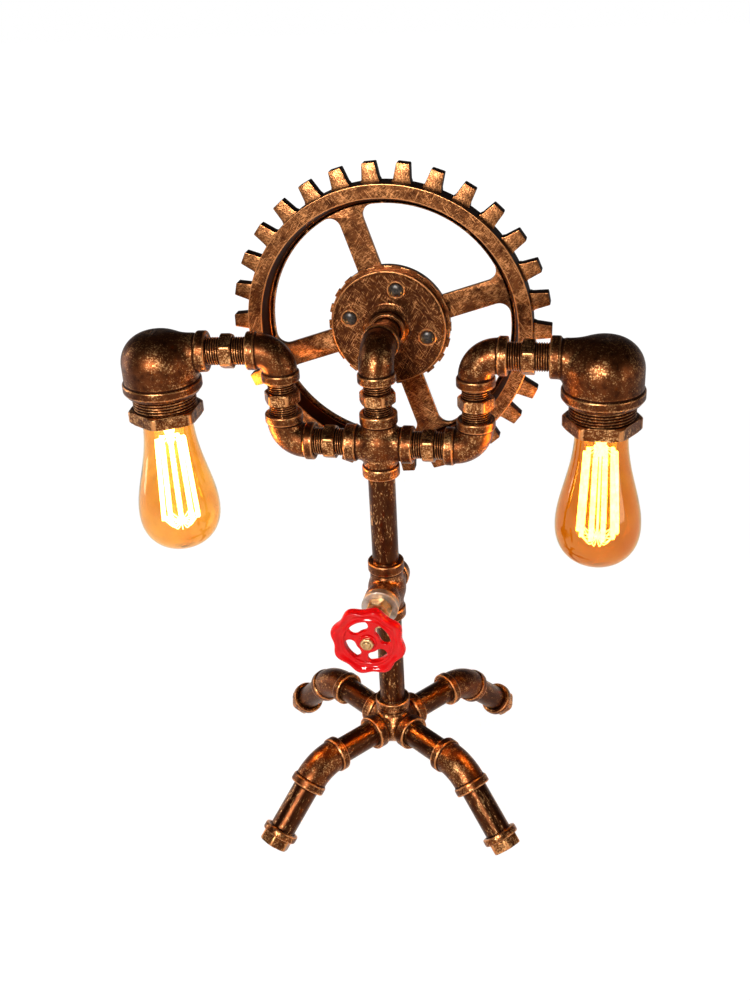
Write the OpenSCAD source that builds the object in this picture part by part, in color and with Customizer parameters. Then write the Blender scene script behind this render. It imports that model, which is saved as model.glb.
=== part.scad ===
// Industrial table lamp built from threaded pipe fittings: a five-way base cross with four sloping legs,
// a column with a valve as its switch, a spoked gear wheel and two heads that hold bulbs.
// Millimetres. Origin: on the column's axis at the floor. +X to the right, -Y to the front, +Z up.

/* [Pipe] */
// Outside diameter of the pipes
pipe_d = 21.3; // [19:0.1:23]
// Wall of the pipes
pipe_wall = 2.6; // [2:0.1:3.2]
// Pitch of the pipe threads
thread_pitch = 1.8; // [1.4:0.1:2.2]
// Depth of the pipe threads
thread_depth = 0.9; // [0.4:0.1:1.2]
// Length of pipe thread screwed into a fitting
thread_engage = 8.5; // [6:0.5:10]
// Free depth of a socket behind the thread's end
socket_spare = 1; // [0.5:0.5:1.5]
// Radial clearance between a thread and its socket
thread_fit = 0.08; // [0.04:0.01:0.1]

/* [Fittings] */
// Diameter of a fitting's body
body_d = 26.4; // [25.6:0.1:28]
// Diameter of the collar at each mouth of a fitting
collar_d = 29.2; // [28.4:0.1:32]
// Edge bevel of the collars
collar_bevel = 0.8; // [0.3:0.1:1.2]
// Centre to face of the 90 degree elbows
elbow_reach = 23.6; // [21:0.1:27]
// Collar width of the 90 degree elbows
elbow_collar_w = 7; // [5:0.1:8]
// Centre to face of the crosses
cross_reach = 26.2; // [25:0.1:29]
// Collar width of the crosses
cross_collar_w = 8.6; // [6:0.1:10]
// Centre to face of the sloping leg elbows
bend_reach = 21.5; // [19:0.1:24]
// Collar width of the leg elbows
bend_collar_w = 6.6; // [5:0.1:8]
// Diameter of the round core of the base cross
base_core_d = 35; // [30:0.5:38]
// Width across flats of the hexagon nipples
nipple_af = 24.6; // [24:0.1:27]
// Length of the hexagon on a nipple
nipple_hex = 9; // [6:0.1:12]
// Bevel of hexagon corners
hex_bevel = 1; // [0.4:0.1:1.6]

/* [Base] */
// Column axis to the centre of a leg elbow
leg_reach = 82.4; // [76:0.1:95]
// Centre of a leg elbow to the end of its foot
leg_run = 75; // [68:0.5:90]
// Slope of the legs below level
leg_slope = 45; // [35:1:50]
// Turn of the base on the column
base_turn = 7; // [-20:0.5:20]
// Width across flats of a foot cap
cap_af = 22.6; // [21.8:0.1:26]
// Length of a foot cap's hexagon
cap_hex = 8.4; // [7:0.1:12]
// Width of a foot cap's round bead
cap_bead = 6; // [4:0.1:8]
// Depth ground off the feet so that the lamp stands level
foot_flat = 0.6; // [0.3:0.1:1]

/* [Column] */
// Base cross centre to valve cross centre
valve_rise = 135.8; // [115:0.5:170]
// Valve cross centre to top cross centre
top_rise = 129.2; // [110:0.5:160]

/* [Arms] */
// Column axis to the axis of an arm's two elbows
arm_half = 74.3; // [72:0.1:90]
// Top cross centre to the level of the heads
arm_rise = 73.6; // [70:0.1:90]
// Arm elbow axis to bulb axis
head_reach = 92.3; // [88:0.1:105]
// Turn of the left arm towards the front
left_turn = 5.8; // [-5:0.1:30]
// Turn of the right arm towards the front
right_turn = 0; // [-5:0.1:30]

/* [Heads] */
// Bulb axis to the face of a head's small collar
neck_reach = 38.5; // [37:0.1:42]
// Diameter of the small collar
neck_collar_d = 31.4; // [29:0.1:34]
// Width of the small collar
neck_collar_w = 8; // [5:0.1:9]
// Diameter of the neck behind the small collar
neck_d = 27.4; // [26:0.1:29]
// Diameter of a head's body
head_d = 58; // [56:0.1:60]
// Top of a head above the arm level
head_top = 15.6; // [14.6:0.1:18]
// Radius of the rounded shoulder of a head
head_round = 23.5; // [20:0.1:25]
// Diameter of the large collar
head_collar_d = 61; // [60.5:0.1:64]
// Height of the large collar
head_collar_h = 10; // [8:0.1:12]
// Arm level to the lower face of the large collar
head_drop = 32; // [28:0.1:36]
// Wall of a head
head_wall = 3.4; // [2.5:0.1:4]
// Diameter of the bushing's thread
bush_d = 49.2; // [48:0.1:50.5]
// Pitch of the bushing's thread
bush_pitch = 2.3; // [1.8:0.1:3]
// Visible length of the bushing's thread
bush_gap = 12; // [9:0.1:15]
// Width across flats of the bushing's hexagon
bush_af = 51.3; // [51:0.1:56]
// Height of the bushing's hexagon
bush_hex = 9.7; // [8:0.1:12]
// Turn of the left bushing's hexagon
left_hex_turn = 24; // [0:1:60]
// Turn of the right bushing's hexagon
right_hex_turn = 0; // [0:1:60]

/* [Lampholders and bulbs] */
// Diameter of the lampholder body
holder_d = 39.6; // [38:0.1:41]
// Arm level to the top of the lampholder
holder_top = 12; // [11:0.1:14]
// Arm level to the lower rim of the lampholder
holder_rim = 47; // [46:0.1:48]
// Thickness of the lampholder's roof
holder_roof = 8; // [6:0.1:8.5]
// Diameter of the bulb's screw cap
screw_d = 26.4; // [26:0.1:27]
// Play between screw cap and threaded shell
screw_fit = 0.25; // [0.15:0.05:0.4]
// Arm level to the tip of the screw cap's contact
bulb_top = 23; // [22.5:0.1:24.5]
// Arm level to the end of the screw cap
bulb_seam = 48; // [47.5:0.1:50]
// Arm level to the lowest point of the glass
bulb_tip = 166; // [158:0.5:175]
// Largest diameter of the glass
bulb_d = 65; // [56:0.5:70]
// Diameter of the glass neck below the screw cap
bulb_neck_d = 39; // [36:0.5:41]
// Wall of the glass
glass_wall = 1; // [0.8:0.1:1.4]
// Number of upright filament strands
strands = 10; // [6:1:14]

/* [Gear] */
// Top cross centre to the gear's axis
gear_rise = 74.4; // [71:0.1:90]
// Number of teeth
teeth = 30; // [24:1:34]
// Height of a tooth above the ring
tooth_h = 13.7; // [8:0.1:18]
// Width of a tooth at its tip
tooth_tip_w = 9.9; // [7:0.1:11]
// Width of a tooth at its root
tooth_root_w = 14.5; // [12:0.1:16]
// Turn of the first tooth from straight up, towards the right
tooth_turn = 7; // [-6:0.5:12]
// Outer radius of the ring
ring_r = 111.9; // [108:0.1:115]
// Width of the ring's front face
ring_face_w = 10.9; // [8:0.1:13]
// Front face's inner edge to the edge of the windows
ledge_w = 6.5; // [5:0.5:10]
// Corner radius of the windows
window_round = 8.5; // [5:0.5:11]
// Width of a spoke
spoke_w = 19; // [14:0.5:26]
// Direction of the first spoke from level
spoke_turn = 18.5; // [0:0.5:45]
// Thickness of the spokes
web_t = 4.3; // [3:0.1:6]
// Width of the ring along its axis
ring_w = 17.6; // [14:0.1:22]
// Thickness of the teeth
tooth_w = 9.5; // [6:0.1:12]
// Radius of the gear's hub
hub_r = 47.3; // [46:0.1:55]
// Thickness of the gear's hub
hub_t = 6.1; // [5:0.1:9]
// Radius of the hole in the hub
hub_hole_r = 9; // [6:0.5:14]
// Tip radius of the toothed clamping ring
clamp_r = 48.4; // [47.5:0.1:55]
// Thickness of the toothed clamping ring
clamp_t = 1.8; // [1.2:0.1:3]
// Number of lugs on the clamping ring
clamp_lugs = 22; // [12:1:30]

/* [Flange] */
// Column axis to the front face of the flange
flange_front = 52.9; // [50:0.1:58]
// Radius of the flange
flange_r = 45; // [42:0.5:46]
// Thickness of the flange plate
flange_t = 5.5; // [4:0.1:8]
// Height of the threaded boss in front of the plate
boss_h = 8.5; // [5:0.1:11]
// Diameter of the boss at its front
boss_d = 27.6; // [26:0.1:30]
// Radius of the screw circle
screw_circle_r = 31.2; // [27:0.1:34]
// Direction of the first screw from level
screw_turn = -13; // [-45:1:45]
// Diameter of the flange screws
screw_m = 5; // [4:0.5:6]
// Head diameter of the flange screws
screw_head_d = 10.5; // [9:0.1:11.5]
// Head height of the flange screws
screw_head_h = 3; // [2:0.1:4]

/* [Valve] */
// Diameter of the bonnet disc
bonnet_d = 29.6; // [26:0.1:32]
// Thickness of the bonnet disc
bonnet_t = 6.3; // [4:0.1:8]
// Width across flats of the brass hexagon
valve_af = 19; // [16:0.1:24]
// Length of the brass hexagon
valve_hex = 10.1; // [7:0.1:12]
// Width across flats of the gland nut
gland_af = 14; // [12:0.1:17]
// Length of the gland nut
gland_h = 7.4; // [5:0.1:10]
// Diameter of the stem
stem_d = 7; // [6:0.1:8]
// Running clearance around the stem
stem_fit = 0.08; // [0.04:0.01:0.1]
// Column axis to the middle of the handwheel
wheel_front = 77.5; // [70:0.1:90]
// Radius of the handwheel over its lobes
wheel_r = 29.5; // [26:0.1:35]
// Number of lobes
lobes = 8; // [5:1:9]
// Thickness of the handwheel's rim
rim_t = 8.4; // [6:0.1:10]
// Thickness of the handwheel's web
wheel_web = 4; // [3:0.1:5]
// Diameter of the handwheel's hub
wheel_hub_d = 14; // [12:0.1:15]
// Direction of the first lobe from level
lobe_turn = 30; // [0:1:45]
// Width across flats of the wheel nut
wheel_nut_af = 9.6; // [8:0.1:11]
// Diameter of the hole for the mains cord
cord_hole_d = 7.4; // [6:0.1:8.4]
// Diameter of the leads inside the pipes
lead_d = 4.6; // [3:0.1:5]

/* [Hidden] */
$fn = 72;

LEFT = -1;
RIGHT = 1;
cut = 0.01;             // how far a cutting solid stands proud
far = 400;              // longer than any piece
gap = 0.3;              // air between pieces of different bodies
pipe_r = pipe_d / 2;
bore_r = pipe_r - pipe_wall;
socket_r = pipe_r + thread_fit;
socket_depth = thread_engage + socket_spare;
lead_r = lead_d / 2;
stem_r = stem_d / 2;
fitting_r = body_d / 2;
collar_r = collar_d / 2;
cap_length = cap_bead + cap_hex;

// Levels
base_z = leg_run * sin(leg_slope) + cap_af / 2 * cos(leg_slope) - foot_flat;
valve_z = base_z + valve_rise;
top_z = valve_z + top_rise;
arm_z = top_z + arm_rise;
gear_z = top_z + gear_rise;

// Exposed lengths between fittings, face to face
stub_gap = leg_reach - bend_reach - cross_reach;
cross_gap = arm_half - elbow_reach - cross_reach;
swing_gap = arm_rise - 2 * elbow_reach;
head_gap = head_reach - elbow_reach - neck_reach;
riser_gap = gear_rise - cross_reach - elbow_reach;
swing_z = arm_z - elbow_reach - swing_gap / 2;
tilt_x = elbow_reach + head_gap / 2;
elbow_bend_r = elbow_reach - elbow_collar_w;

// Gear, measured from the column axis towards the back
flange_back = flange_front + flange_t;
hub_front = flange_back + clamp_t;
gear_back = hub_front + hub_t;
tooth_tip_r = ring_r + tooth_h;
ring_bore_r = ring_r - ring_face_w;
window_r = ring_bore_r - ledge_w;

// Head, measured down from the arm level
bush_hex_top = head_drop + bush_gap;
bush_end = bush_hex_top + bush_hex;
bush_engage = 13;
bush_r = bush_d / 2;
holder_r = holder_d / 2;
shell_r = screw_d / 2 + screw_fit;
shell_wall = 0.6;
lead_turn_r = 8;

// Valve, measured from the column axis towards the front
bonnet_front = cross_reach + bonnet_t;
hexagon_front = bonnet_front + valve_hex;
gland_front = hexagon_front + gland_h;
wheel_bore_r = stem_r - 0.6;
wheel_back = wheel_front - wheel_web;
wheel_face = wheel_front + rim_t / 2 - 1;
nut_h = 3;
switch_front = cross_reach - thread_engage - 0.4;
switch_r = bore_r - 0.2;
terminal_h = 4;
lead_pitch = lead_d + 0.8;

bronze = [0.24, 0.15, 0.10];
copper = [0.45, 0.27, 0.15];
brass = [0.80, 0.62, 0.32];
steel = [0.62, 0.62, 0.60];
red = [0.82, 0.05, 0.07];
amber = [0.95, 0.62, 0.25, 0.45];
black = [0.08, 0.08, 0.08];

// ---------- Shared shapes ----------

// Points of a saw-toothed thread outline from z0 to z1, crest radius r
function thread_points(r, z0, z1, pitch, depth) =
    let (turns = max(1, round((z1 - z0) / pitch)), step = (z1 - z0) / turns)
    [for (i = [0 : turns - 1]) each [[r - depth, z0 + i * step], [r, z0 + (i + 0.5) * step]], [r - depth, z1]];

// Solid screw thread along Z
module thread(r, z0, z1, pitch = thread_pitch, depth = thread_depth) {
    rotate_extrude() polygon([[0, z0], each thread_points(r, z0, z1, pitch, depth), [0, z1]]);
}

// Round disc along Z with both edges bevelled
module bevelled_disc(r, z0, z1, bevel) {
    rotate_extrude()
        polygon([[0, z0], [r - bevel, z0], [r, z0 + bevel], [r, z1 - bevel], [r - bevel, z1], [0, z1]]);
}

// Hexagon along Z, its corners bevelled at both ends
module hexagon(af, z0, z1, bevel = hex_bevel) {
    corner_r = af / 2 / cos(30);
    intersection() {
        translate([0, 0, z0]) cylinder(r = corner_r, h = z1 - z0, $fn = 6);
        bevelled_disc(corner_r, z0, z1, bevel);
    }
}

module bore(r, z0, z1) {
    translate([0, 0, z0]) cylinder(r = r, h = z1 - z0);
}

// Points local +Z along a direction
module aim(v) {
    rotate([0, acos(v[2] / norm(v)), atan2(v[1], v[0])]) children();
}

// One arm of a fitting along +Z: body, collar
module fitting_arm(reach, collar_w) {
    cylinder(r = fitting_r, h = reach - collar_w / 2);
    bevelled_disc(collar_r, reach - collar_w, reach, collar_bevel);
}

// What is cut out of one arm of a fitting along +Z
module fitting_socket(reach) {
    bore(bore_r, 0, reach);
    bore(socket_r, reach - socket_depth, reach + cut);
}

// Fitting with straight outlets along the given directions
module cross_fitting(directions, core_d) {
    difference() {
        union() {
            sphere(d = core_d);
            for (v = directions) aim(v) fitting_arm(cross_reach, cross_collar_w);
        }
        for (v = directions) aim(v) fitting_socket(cross_reach);
        sphere(r = bore_r);
    }
}

// Round bar bent from +X to the direction 180 - bend in the XY plane, around the origin's corner
module bent_bar(r, bend, bend_r) {
    start = bend_r * tan(bend / 2);
    translate([start, bend_r, 0]) rotate([0, 0, 270 - bend])
        rotate_extrude(angle = bend) translate([bend_r, 0]) circle(r = r);
}

// Elbow with one mouth along +X and the other turned away from it by 180 - bend in the XY plane
module elbow_fitting(reach, collar_w, bend) {
    start = reach - collar_w;
    bend_r = start / tan(bend / 2);
    mouths = [[1, 0, 0], [cos(180 - bend), sin(180 - bend), 0]];
    difference() {
        union() {
            bent_bar(fitting_r, bend, bend_r);
            for (v = mouths) aim(v) {
                bore(fitting_r, start, reach - collar_w / 2);
                bevelled_disc(collar_r, start, reach, collar_bevel);
            }
        }
        bent_bar(bore_r, bend, bend_r);
        for (v = mouths) aim(v) {
            bore(bore_r, start, reach);
            bore(socket_r, reach - socket_depth, reach + cut);
        }
    }
}

// Pipe along Z, exposed from z0 to z1, with a threaded end screwed into the fitting at each end
module pipe(z0, z1) {
    difference() {
        union() {
            bore(pipe_r, z0 - cut, z1 + cut);
            thread(pipe_r, z0 - thread_engage, z0);
            thread(pipe_r, z1, z1 + thread_engage);
        }
        bore(bore_r, z0 - far, z1 + far);
    }
}

// Hexagon nipple along Z, centred on the origin, for a face to face distance
module hex_nipple(exposed) {
    half = exposed / 2 + thread_engage;
    difference() {
        union() {
            thread(pipe_r, -half, half);
            hexagon(nipple_af, -nipple_hex / 2, nipple_hex / 2);
        }
        bore(bore_r, -far, far);
    }
}

// ---------- Places ----------

// Local +X along leg k at the base cross
module leg_frame(k) {
    translate([0, 0, base_z]) rotate([0, 0, 45 + 90 * k + base_turn]) children();
}

// Local +Z down the slope of leg k, from the elbow's centre
module slope_frame(k) {
    leg_frame(k) translate([leg_reach, 0, 0]) rotate([0, 90 + leg_slope, 0]) children();
}

// Local +X from the column to one side
module side_frame(side) {
    rotate([0, 0, side > 0 ? 0 : 180]) children();
}

// Local +X along an arm from its swing axis, turned as it stands
module arm_frame(side) {
    turn = side > 0 ? -right_turn : 180 + left_turn;
    translate([side * arm_half, 0, arm_z]) rotate([0, 0, turn]) children();
}

// Local origin on the bulb's axis at the arm level
module head_frame(side) {
    arm_frame(side) translate([head_reach, 0, 0]) children();
}

// Local +Z to the front, +X right, +Y up, on the axis of the gear
module gear_frame() {
    translate([0, 0, gear_z]) rotate([90, 0, 0]) children();
}

// Local +Z to the front, on the axis of the valve
module valve_frame() {
    translate([0, 0, valve_z]) rotate([90, 0, 0]) children();
}

// ---------- Base ----------

module base_cross() {
    legs = [for (k = [0 : 3]) let (a = 45 + 90 * k + base_turn) [cos(a), sin(a), 0]];
    color(bronze) translate([0, 0, base_z]) cross_fitting([[0, 0, 1], each legs], base_core_d);
}

module leg_stubs() {
    color(bronze) for (k = [0 : 3]) leg_frame(k) rotate([0, 90, 0]) pipe(cross_reach, cross_reach + stub_gap);
}

module leg_elbow(k) {
    color(bronze) leg_frame(k) translate([leg_reach, 0, 0]) rotate([-90, 0, 180])
        elbow_fitting(bend_reach, bend_collar_w, leg_slope);
}

module leg_pipes() {
    color(copper) for (k = [0 : 3]) slope_frame(k) pipe(bend_reach, leg_run - cap_length);
}

module foot_cap(k) {
    color(bronze) difference() {
        slope_frame(k) difference() {
            union() {
                bevelled_disc(collar_r, leg_run - cap_length, leg_run - cap_hex, collar_bevel);
                rotate([0, 0, 30]) hexagon(cap_af, leg_run - cap_hex - cut, leg_run, hex_bevel / 2);
            }
            bore(socket_r, leg_run - cap_length - cut, leg_run - cap_length + socket_depth);
        }
        translate([-far, -far, -far]) cube([2 * far, 2 * far, far]);
    }
}

// ---------- Column ----------

module lower_pipe() {
    color(bronze) pipe(base_z + cross_reach, valve_z - cross_reach);
}

module valve_cross() {
    color(bronze) translate([0, 0, valve_z])
        cross_fitting([[0, 0, 1], [0, 0, -1], [0, 1, 0], [0, -1, 0]], body_d);
}

module upper_pipe() {
    color(copper) pipe(valve_z + cross_reach, top_z - cross_reach);
}

module top_cross() {
    color(bronze) translate([0, 0, top_z])
        cross_fitting([[0, 0, 1], [0, 0, -1], [1, 0, 0], [-1, 0, 0]], body_d);
}

// ---------- Gear ----------

module riser_nipple() {
    color(bronze) translate([0, 0, top_z + cross_reach + riser_gap / 2]) hex_nipple(riser_gap);
}

module gear_elbow() {
    color(bronze) translate([0, 0, gear_z]) rotate([0, 90, 0]) elbow_fitting(elbow_reach, elbow_collar_w, 90);
}

module flange_nipple() {
    color(bronze) gear_frame() difference() {
        thread(pipe_r, -(flange_back - 1), -(elbow_reach - thread_engage));
        bore(bore_r, -far, far);
    }
}

module at_screws() {
    for (k = [0 : 3]) rotate([0, 0, screw_turn + 90 * k]) translate([screw_circle_r, 0, 0]) children();
}

module floor_flange() {
    boss_root = boss_d / 2 + 2.4;
    color(copper) gear_frame() difference() {
        union() {
            bevelled_disc(flange_r, -flange_back, -flange_front, collar_bevel);
            rotate_extrude() polygon([[0, -flange_back], [boss_root, -flange_front - cut],
                [boss_d / 2, -flange_front + 3], [boss_d / 2, -flange_front + boss_h - 1],
                [boss_d / 2 - 1, -flange_front + boss_h], [0, -flange_front + boss_h]]);
        }
        bore(socket_r, -flange_back - cut, far);
        at_screws() {
            bore(screw_m / 2 + 0.2, -far, far);
            bore(screw_head_d / 2 + 0.8, -flange_front - 0.8, far);
        }
    }
}

module flange_screws() {
    shank_r = screw_m / 2;
    seat = -flange_front - 0.8;
    color(black) gear_frame() at_screws() {
        bore(shank_r, -gear_back - screw_m, seat + cut);
        rotate_extrude() polygon([[0, seat], [screw_head_d / 2, seat], [screw_head_d / 2, seat + screw_head_h * 0.35],
            for (a = [15 : 15 : 90]) [screw_head_d / 2 * cos(a), seat + screw_head_h * (0.35 + 0.65 * sin(a))]]);
    }
}

module flange_nuts() {
    color(steel) gear_frame() at_screws() difference() {
        hexagon(screw_m * 1.6, -gear_back - screw_m * 0.8, -gear_back, 0.5);
        bore(screw_m / 2 + 0.05, -far, far);
    }
}

// One window corner beside a spoke along +X
module window_corner() {
    y = spoke_w / 2 + window_round;
    x = sqrt(pow(window_r - window_round, 2) - y * y);
    reach = (window_r + 1) / (window_r - window_round);
    difference() {
        polygon([[x, y], [x, spoke_w / 2 - 1], [window_r + 1, spoke_w / 2 - 1], [x * reach, y * reach]]);
        translate([x, y]) circle(r = window_round);
    }
}

module gear_wheel() {
    pitch = 360 / teeth;
    color(copper) gear_frame() difference() {
        union() {
            // Ring, its bore narrowing towards the back
            rotate_extrude() polygon([[window_r, -gear_back], [ring_r, -gear_back], [ring_r, -gear_back + ring_w - 0.8],
                [ring_r - 0.8, -gear_back + ring_w], [ring_bore_r + 0.8, -gear_back + ring_w],
                [ring_bore_r, -gear_back + ring_w - 0.8], [ring_bore_r - 3, -gear_back + web_t + 1],
                [ring_bore_r - 4, -gear_back + web_t], [window_r, -gear_back + web_t]]);
            // Teeth
            translate([0, 0, -gear_back]) linear_extrude(tooth_w)
                for (k = [0 : teeth - 1]) rotate([0, 0, 90 - tooth_turn + k * pitch])
                    polygon([[ring_r - 2, -tooth_root_w / 2], [ring_r, -tooth_root_w / 2],
                        [ring_r + 2, -tooth_root_w / 2 + 1], [tooth_tip_r, -tooth_tip_w / 2],
                        [tooth_tip_r, tooth_tip_w / 2], [ring_r + 2, tooth_root_w / 2 - 1],
                        [ring_r, tooth_root_w / 2], [ring_r - 2, tooth_root_w / 2]]);
            // Spokes
            translate([0, 0, -gear_back]) linear_extrude(web_t)
                for (k = [0 : 3]) rotate([0, 0, spoke_turn + 90 * k]) {
                    translate([hub_r - 3, -spoke_w / 2]) square([window_r - hub_r + 5, spoke_w]);
                    window_corner();
                    mirror([0, 1]) window_corner();
                }
            bevelled_disc(hub_r, -gear_back, -hub_front, 0.4);
        }
        bore(hub_hole_r, -far, far);
        at_screws() bore(screw_m / 2 + 0.2, -far, far);
    }
}

module clamp_ring() {
    root_r = clamp_r - 2.2;
    lug_w = PI * clamp_r / clamp_lugs;
    color(bronze) gear_frame() difference() {
        translate([0, 0, -hub_front]) linear_extrude(clamp_t) {
            circle(r = root_r);
            for (k = [0 : clamp_lugs - 1]) rotate([0, 0, k * 360 / clamp_lugs])
                translate([root_r - 4, -lug_w / 2]) square([4 + clamp_r - root_r, lug_w]);
        }
        bore(hub_hole_r, -far, far);
        at_screws() bore(screw_m / 2 + 0.2, -far, far);
    }
}

// ---------- Arms ----------

module cross_nipple(side) {
    color(bronze) side_frame(side) translate([cross_reach + cross_gap / 2, 0, top_z]) rotate([0, 90, 0])
        hex_nipple(cross_gap);
}

module lower_elbow(side) {
    color(bronze) side_frame(side) translate([arm_half, 0, top_z]) rotate([90, 0, 180])
        elbow_fitting(elbow_reach, elbow_collar_w, 90);
}

module swing_nipple(side) {
    color(bronze) translate([side * arm_half, 0, swing_z]) hex_nipple(swing_gap);
}

module upper_elbow(side) {
    color(bronze) arm_frame(side) rotate([0, 90, -90]) elbow_fitting(elbow_reach, elbow_collar_w, 90);
}

module head_nipple(side) {
    color(bronze) arm_frame(side) translate([tilt_x, 0, 0]) rotate([0, 90, 0]) hex_nipple(head_gap);
}

// ---------- Heads ----------

// Half outline of a head's round body: a wall that turns into the roof through a round shoulder
module dome_outline(r, top, round, bottom) {
    square_top = top - round;
    translate([0, bottom]) square([r, square_top - bottom]);
    translate([0, square_top - cut]) square([r - round, round + cut]);
    intersection() {
        translate([r - round, square_top]) circle(r = round);
        translate([0, square_top - cut]) square([r, round + cut]);
    }
}

module reducing_elbow(side) {
    head_r = head_d / 2;
    large_r = head_collar_d / 2;
    neck_r = neck_d / 2;
    flare_drop = 6.4;
    flare_run = 22;
    flare_tilt = atan(flare_drop / flare_run);
    flare_start = neck_reach - neck_collar_w;
    color(bronze) head_frame(side) difference() {
        union() {
            rotate_extrude() dome_outline(head_r, head_top, head_round, -head_drop + head_collar_h / 2);
            // Large collar, tapered at its lower edge
            rotate_extrude() polygon([[0, -head_drop], [large_r - 2.6, -head_drop], [large_r, -head_drop + 3.4],
                [large_r, -head_drop + head_collar_h - 1.6], [head_r, -head_drop + head_collar_h + 1],
                [0, -head_drop + head_collar_h + 1]]);
            // Neck flaring into the body, level on top
            translate([-flare_start, 0, 0]) rotate([0, 90 + flare_tilt, 0])
                cylinder(r1 = neck_r, r2 = neck_r + flare_drop, h = norm([flare_run, flare_drop]));
            aim([-1, 0, 0]) {
                bore(neck_r, 0, neck_reach - neck_collar_w / 2);
                bevelled_disc(neck_collar_d / 2, flare_start, neck_reach, 1.6);
            }
        }
        rotate_extrude() dome_outline(head_r - head_wall, head_top - head_wall, head_round - head_wall,
            -head_drop + bush_engage);
        bore(bush_r + thread_fit, -head_drop - cut, -head_drop + bush_engage + socket_spare);
        aim([-1, 0, 0]) fitting_socket(neck_reach);
    }
}

module hex_bushing(side) {
    turn = side > 0 ? right_hex_turn : left_hex_turn;
    color(bronze) head_frame(side) difference() {
        union() {
            thread(bush_r, -bush_hex_top, -head_drop + bush_engage, bush_pitch, thread_depth);
            rotate([0, 0, turn]) hexagon(bush_af, -bush_end, -bush_hex_top + cut, 2 * hex_bevel);
        }
        bore(holder_r + thread_fit, -far, far);
        bore(bush_r - 2.6, -bush_end - cut, -holder_rim);
    }
}

module lampholder(side) {
    color(black) head_frame(side) difference() {
        bevelled_disc(holder_r, -holder_rim, -holder_top, 1);
        bore(shell_r + shell_wall, -far, -holder_top - holder_roof);
    }
}

module holder_contacts(side) {
    shell_top = holder_top + holder_roof;
    color(brass) head_frame(side) {
        difference() {
            bore(shell_r + shell_wall, -holder_rim + 2, -bulb_top);
            bore(shell_r, -far, far);
        }
        bore(4, -bulb_top + gap, -shell_top);
    }
}

// ---------- Bulbs ----------

// Glass radius at a depth below the arm level: rounded neck, widening flank, full round end
widest = bulb_tip - bulb_d / 2;
neck_end = bulb_seam + 5;
function flank_share(t) = let (s = pow(t, 1.2)) s * s * (3 - 2 * s);
function glass_r(depth) =
    depth < neck_end ? screw_d / 2 + (bulb_neck_d - screw_d) / 2 * sin(90 * (depth - bulb_seam) / (neck_end - bulb_seam))
    : depth < widest ? bulb_neck_d / 2 + (bulb_d - bulb_neck_d) / 2 * flank_share((depth - neck_end) / (widest - neck_end))
    : bulb_d / 2 * pow(max(0, 1 - pow((depth - widest) / (bulb_tip - widest), 2.3)), 1 / 2.3);
neck_steps = 5;
flank_steps = 14;
end_steps = 12;
glass_depths = [for (i = [0 : neck_steps - 1]) bulb_seam + (neck_end - bulb_seam) * i / neck_steps,
    for (i = [0 : flank_steps - 1]) neck_end + (widest - neck_end) * i / flank_steps,
    for (i = [0 : end_steps - 1]) widest + (bulb_tip - widest) * sin(90 * i / end_steps)];

module bulb_glass(side) {
    inner = [for (d = glass_depths) [glass_r(d) - glass_wall, -d]];
    outer = [for (d = glass_depths) [glass_r(d), -d]];
    last = len(inner) - 1;
    color(amber) head_frame(side) rotate_extrude()
        polygon([each outer, [0, -bulb_tip], [0, -bulb_tip + glass_wall],
            for (i = [0 : last]) inner[last - i]]);
}

module bulb_cap(side) {
    ridge = 0.55;
    ridge_pitch = 3.6;
    shell_top = bulb_top + 4;
    shell_length = bulb_seam - shell_top;
    steps = 36;
    color(brass) head_frame(side) rotate_extrude()
        polygon([[0, -bulb_seam], [screw_d / 2, -bulb_seam],
            for (i = [1 : steps]) let (run = shell_length * i / steps)
                [screw_d / 2 - ridge + ridge * cos(360 * run / ridge_pitch), -bulb_seam + run],
            [6, -bulb_top - 1.4], [4.5, -bulb_top - 1], [3.4, -bulb_top], [0, -bulb_top]]);
}

// Flat star of supports, one arm to each upright strand
module support_star(reach, thickness) {
    linear_extrude(thickness) {
        circle(r = 2);
        for (k = [0 : strands - 1]) rotate([0, 0, 360 / strands * k]) {
            translate([1, -0.3]) square([reach - 1, 0.6]);
            translate([reach, 0]) circle(r = 0.8);
        }
    }
}

module bulb_filament(side) {
    mount_end = bulb_seam + 28;
    cage_top = mount_end - 0.6;
    cage_end = widest + 6;
    cage_top_r = 10;
    cage_end_r = 13;
    wire_r = 0.45;
    star_t = 0.8;
    color(steel) head_frame(side) {
        // Glass mount and its flare, with the centre rod
        rotate_extrude() polygon([[0, -bulb_seam], [9, -bulb_seam], [8.5, -bulb_seam - 2], [4, -bulb_seam - 8],
            [2.6, -mount_end], [1, -mount_end], [1, -cage_end], [0, -cage_end]]);
        translate([0, 0, -cage_top]) support_star(cage_top_r, star_t);
        translate([0, 0, -cage_end]) support_star(cage_end_r, star_t);
        // Upright strands
        for (k = [0 : strands - 1]) rotate([0, 0, 360 / strands * k]) translate([cage_top_r, 0, -cage_top + star_t / 2])
            aim([cage_end_r - cage_top_r, 0, cage_top - cage_end])
                bore(wire_r, 0, norm([cage_end_r - cage_top_r, cage_end - cage_top]));
    }
}

// ---------- Valve and switch ----------

module rotary_switch() {
    color(black) valve_frame() {
        bevelled_disc(switch_r, 5, switch_front, 0.6);
        translate([-5, -terminal_h, -3]) cube([10, 2 * terminal_h, 8 + cut]);
    }
}

module bonnet() {
    color(steel) valve_frame() difference() {
        union() {
            thread(pipe_r, cross_reach - thread_engage, cross_reach);
            bevelled_disc(bonnet_d / 2, cross_reach, bonnet_front, collar_bevel);
        }
        bore(stem_r + stem_fit, -far, far);
    }
}

module valve_hexagon() {
    color(brass) valve_frame() difference() {
        rotate([0, 0, 8]) hexagon(valve_af, bonnet_front, hexagon_front);
        bore(stem_r + stem_fit, -far, far);
    }
}

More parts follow.
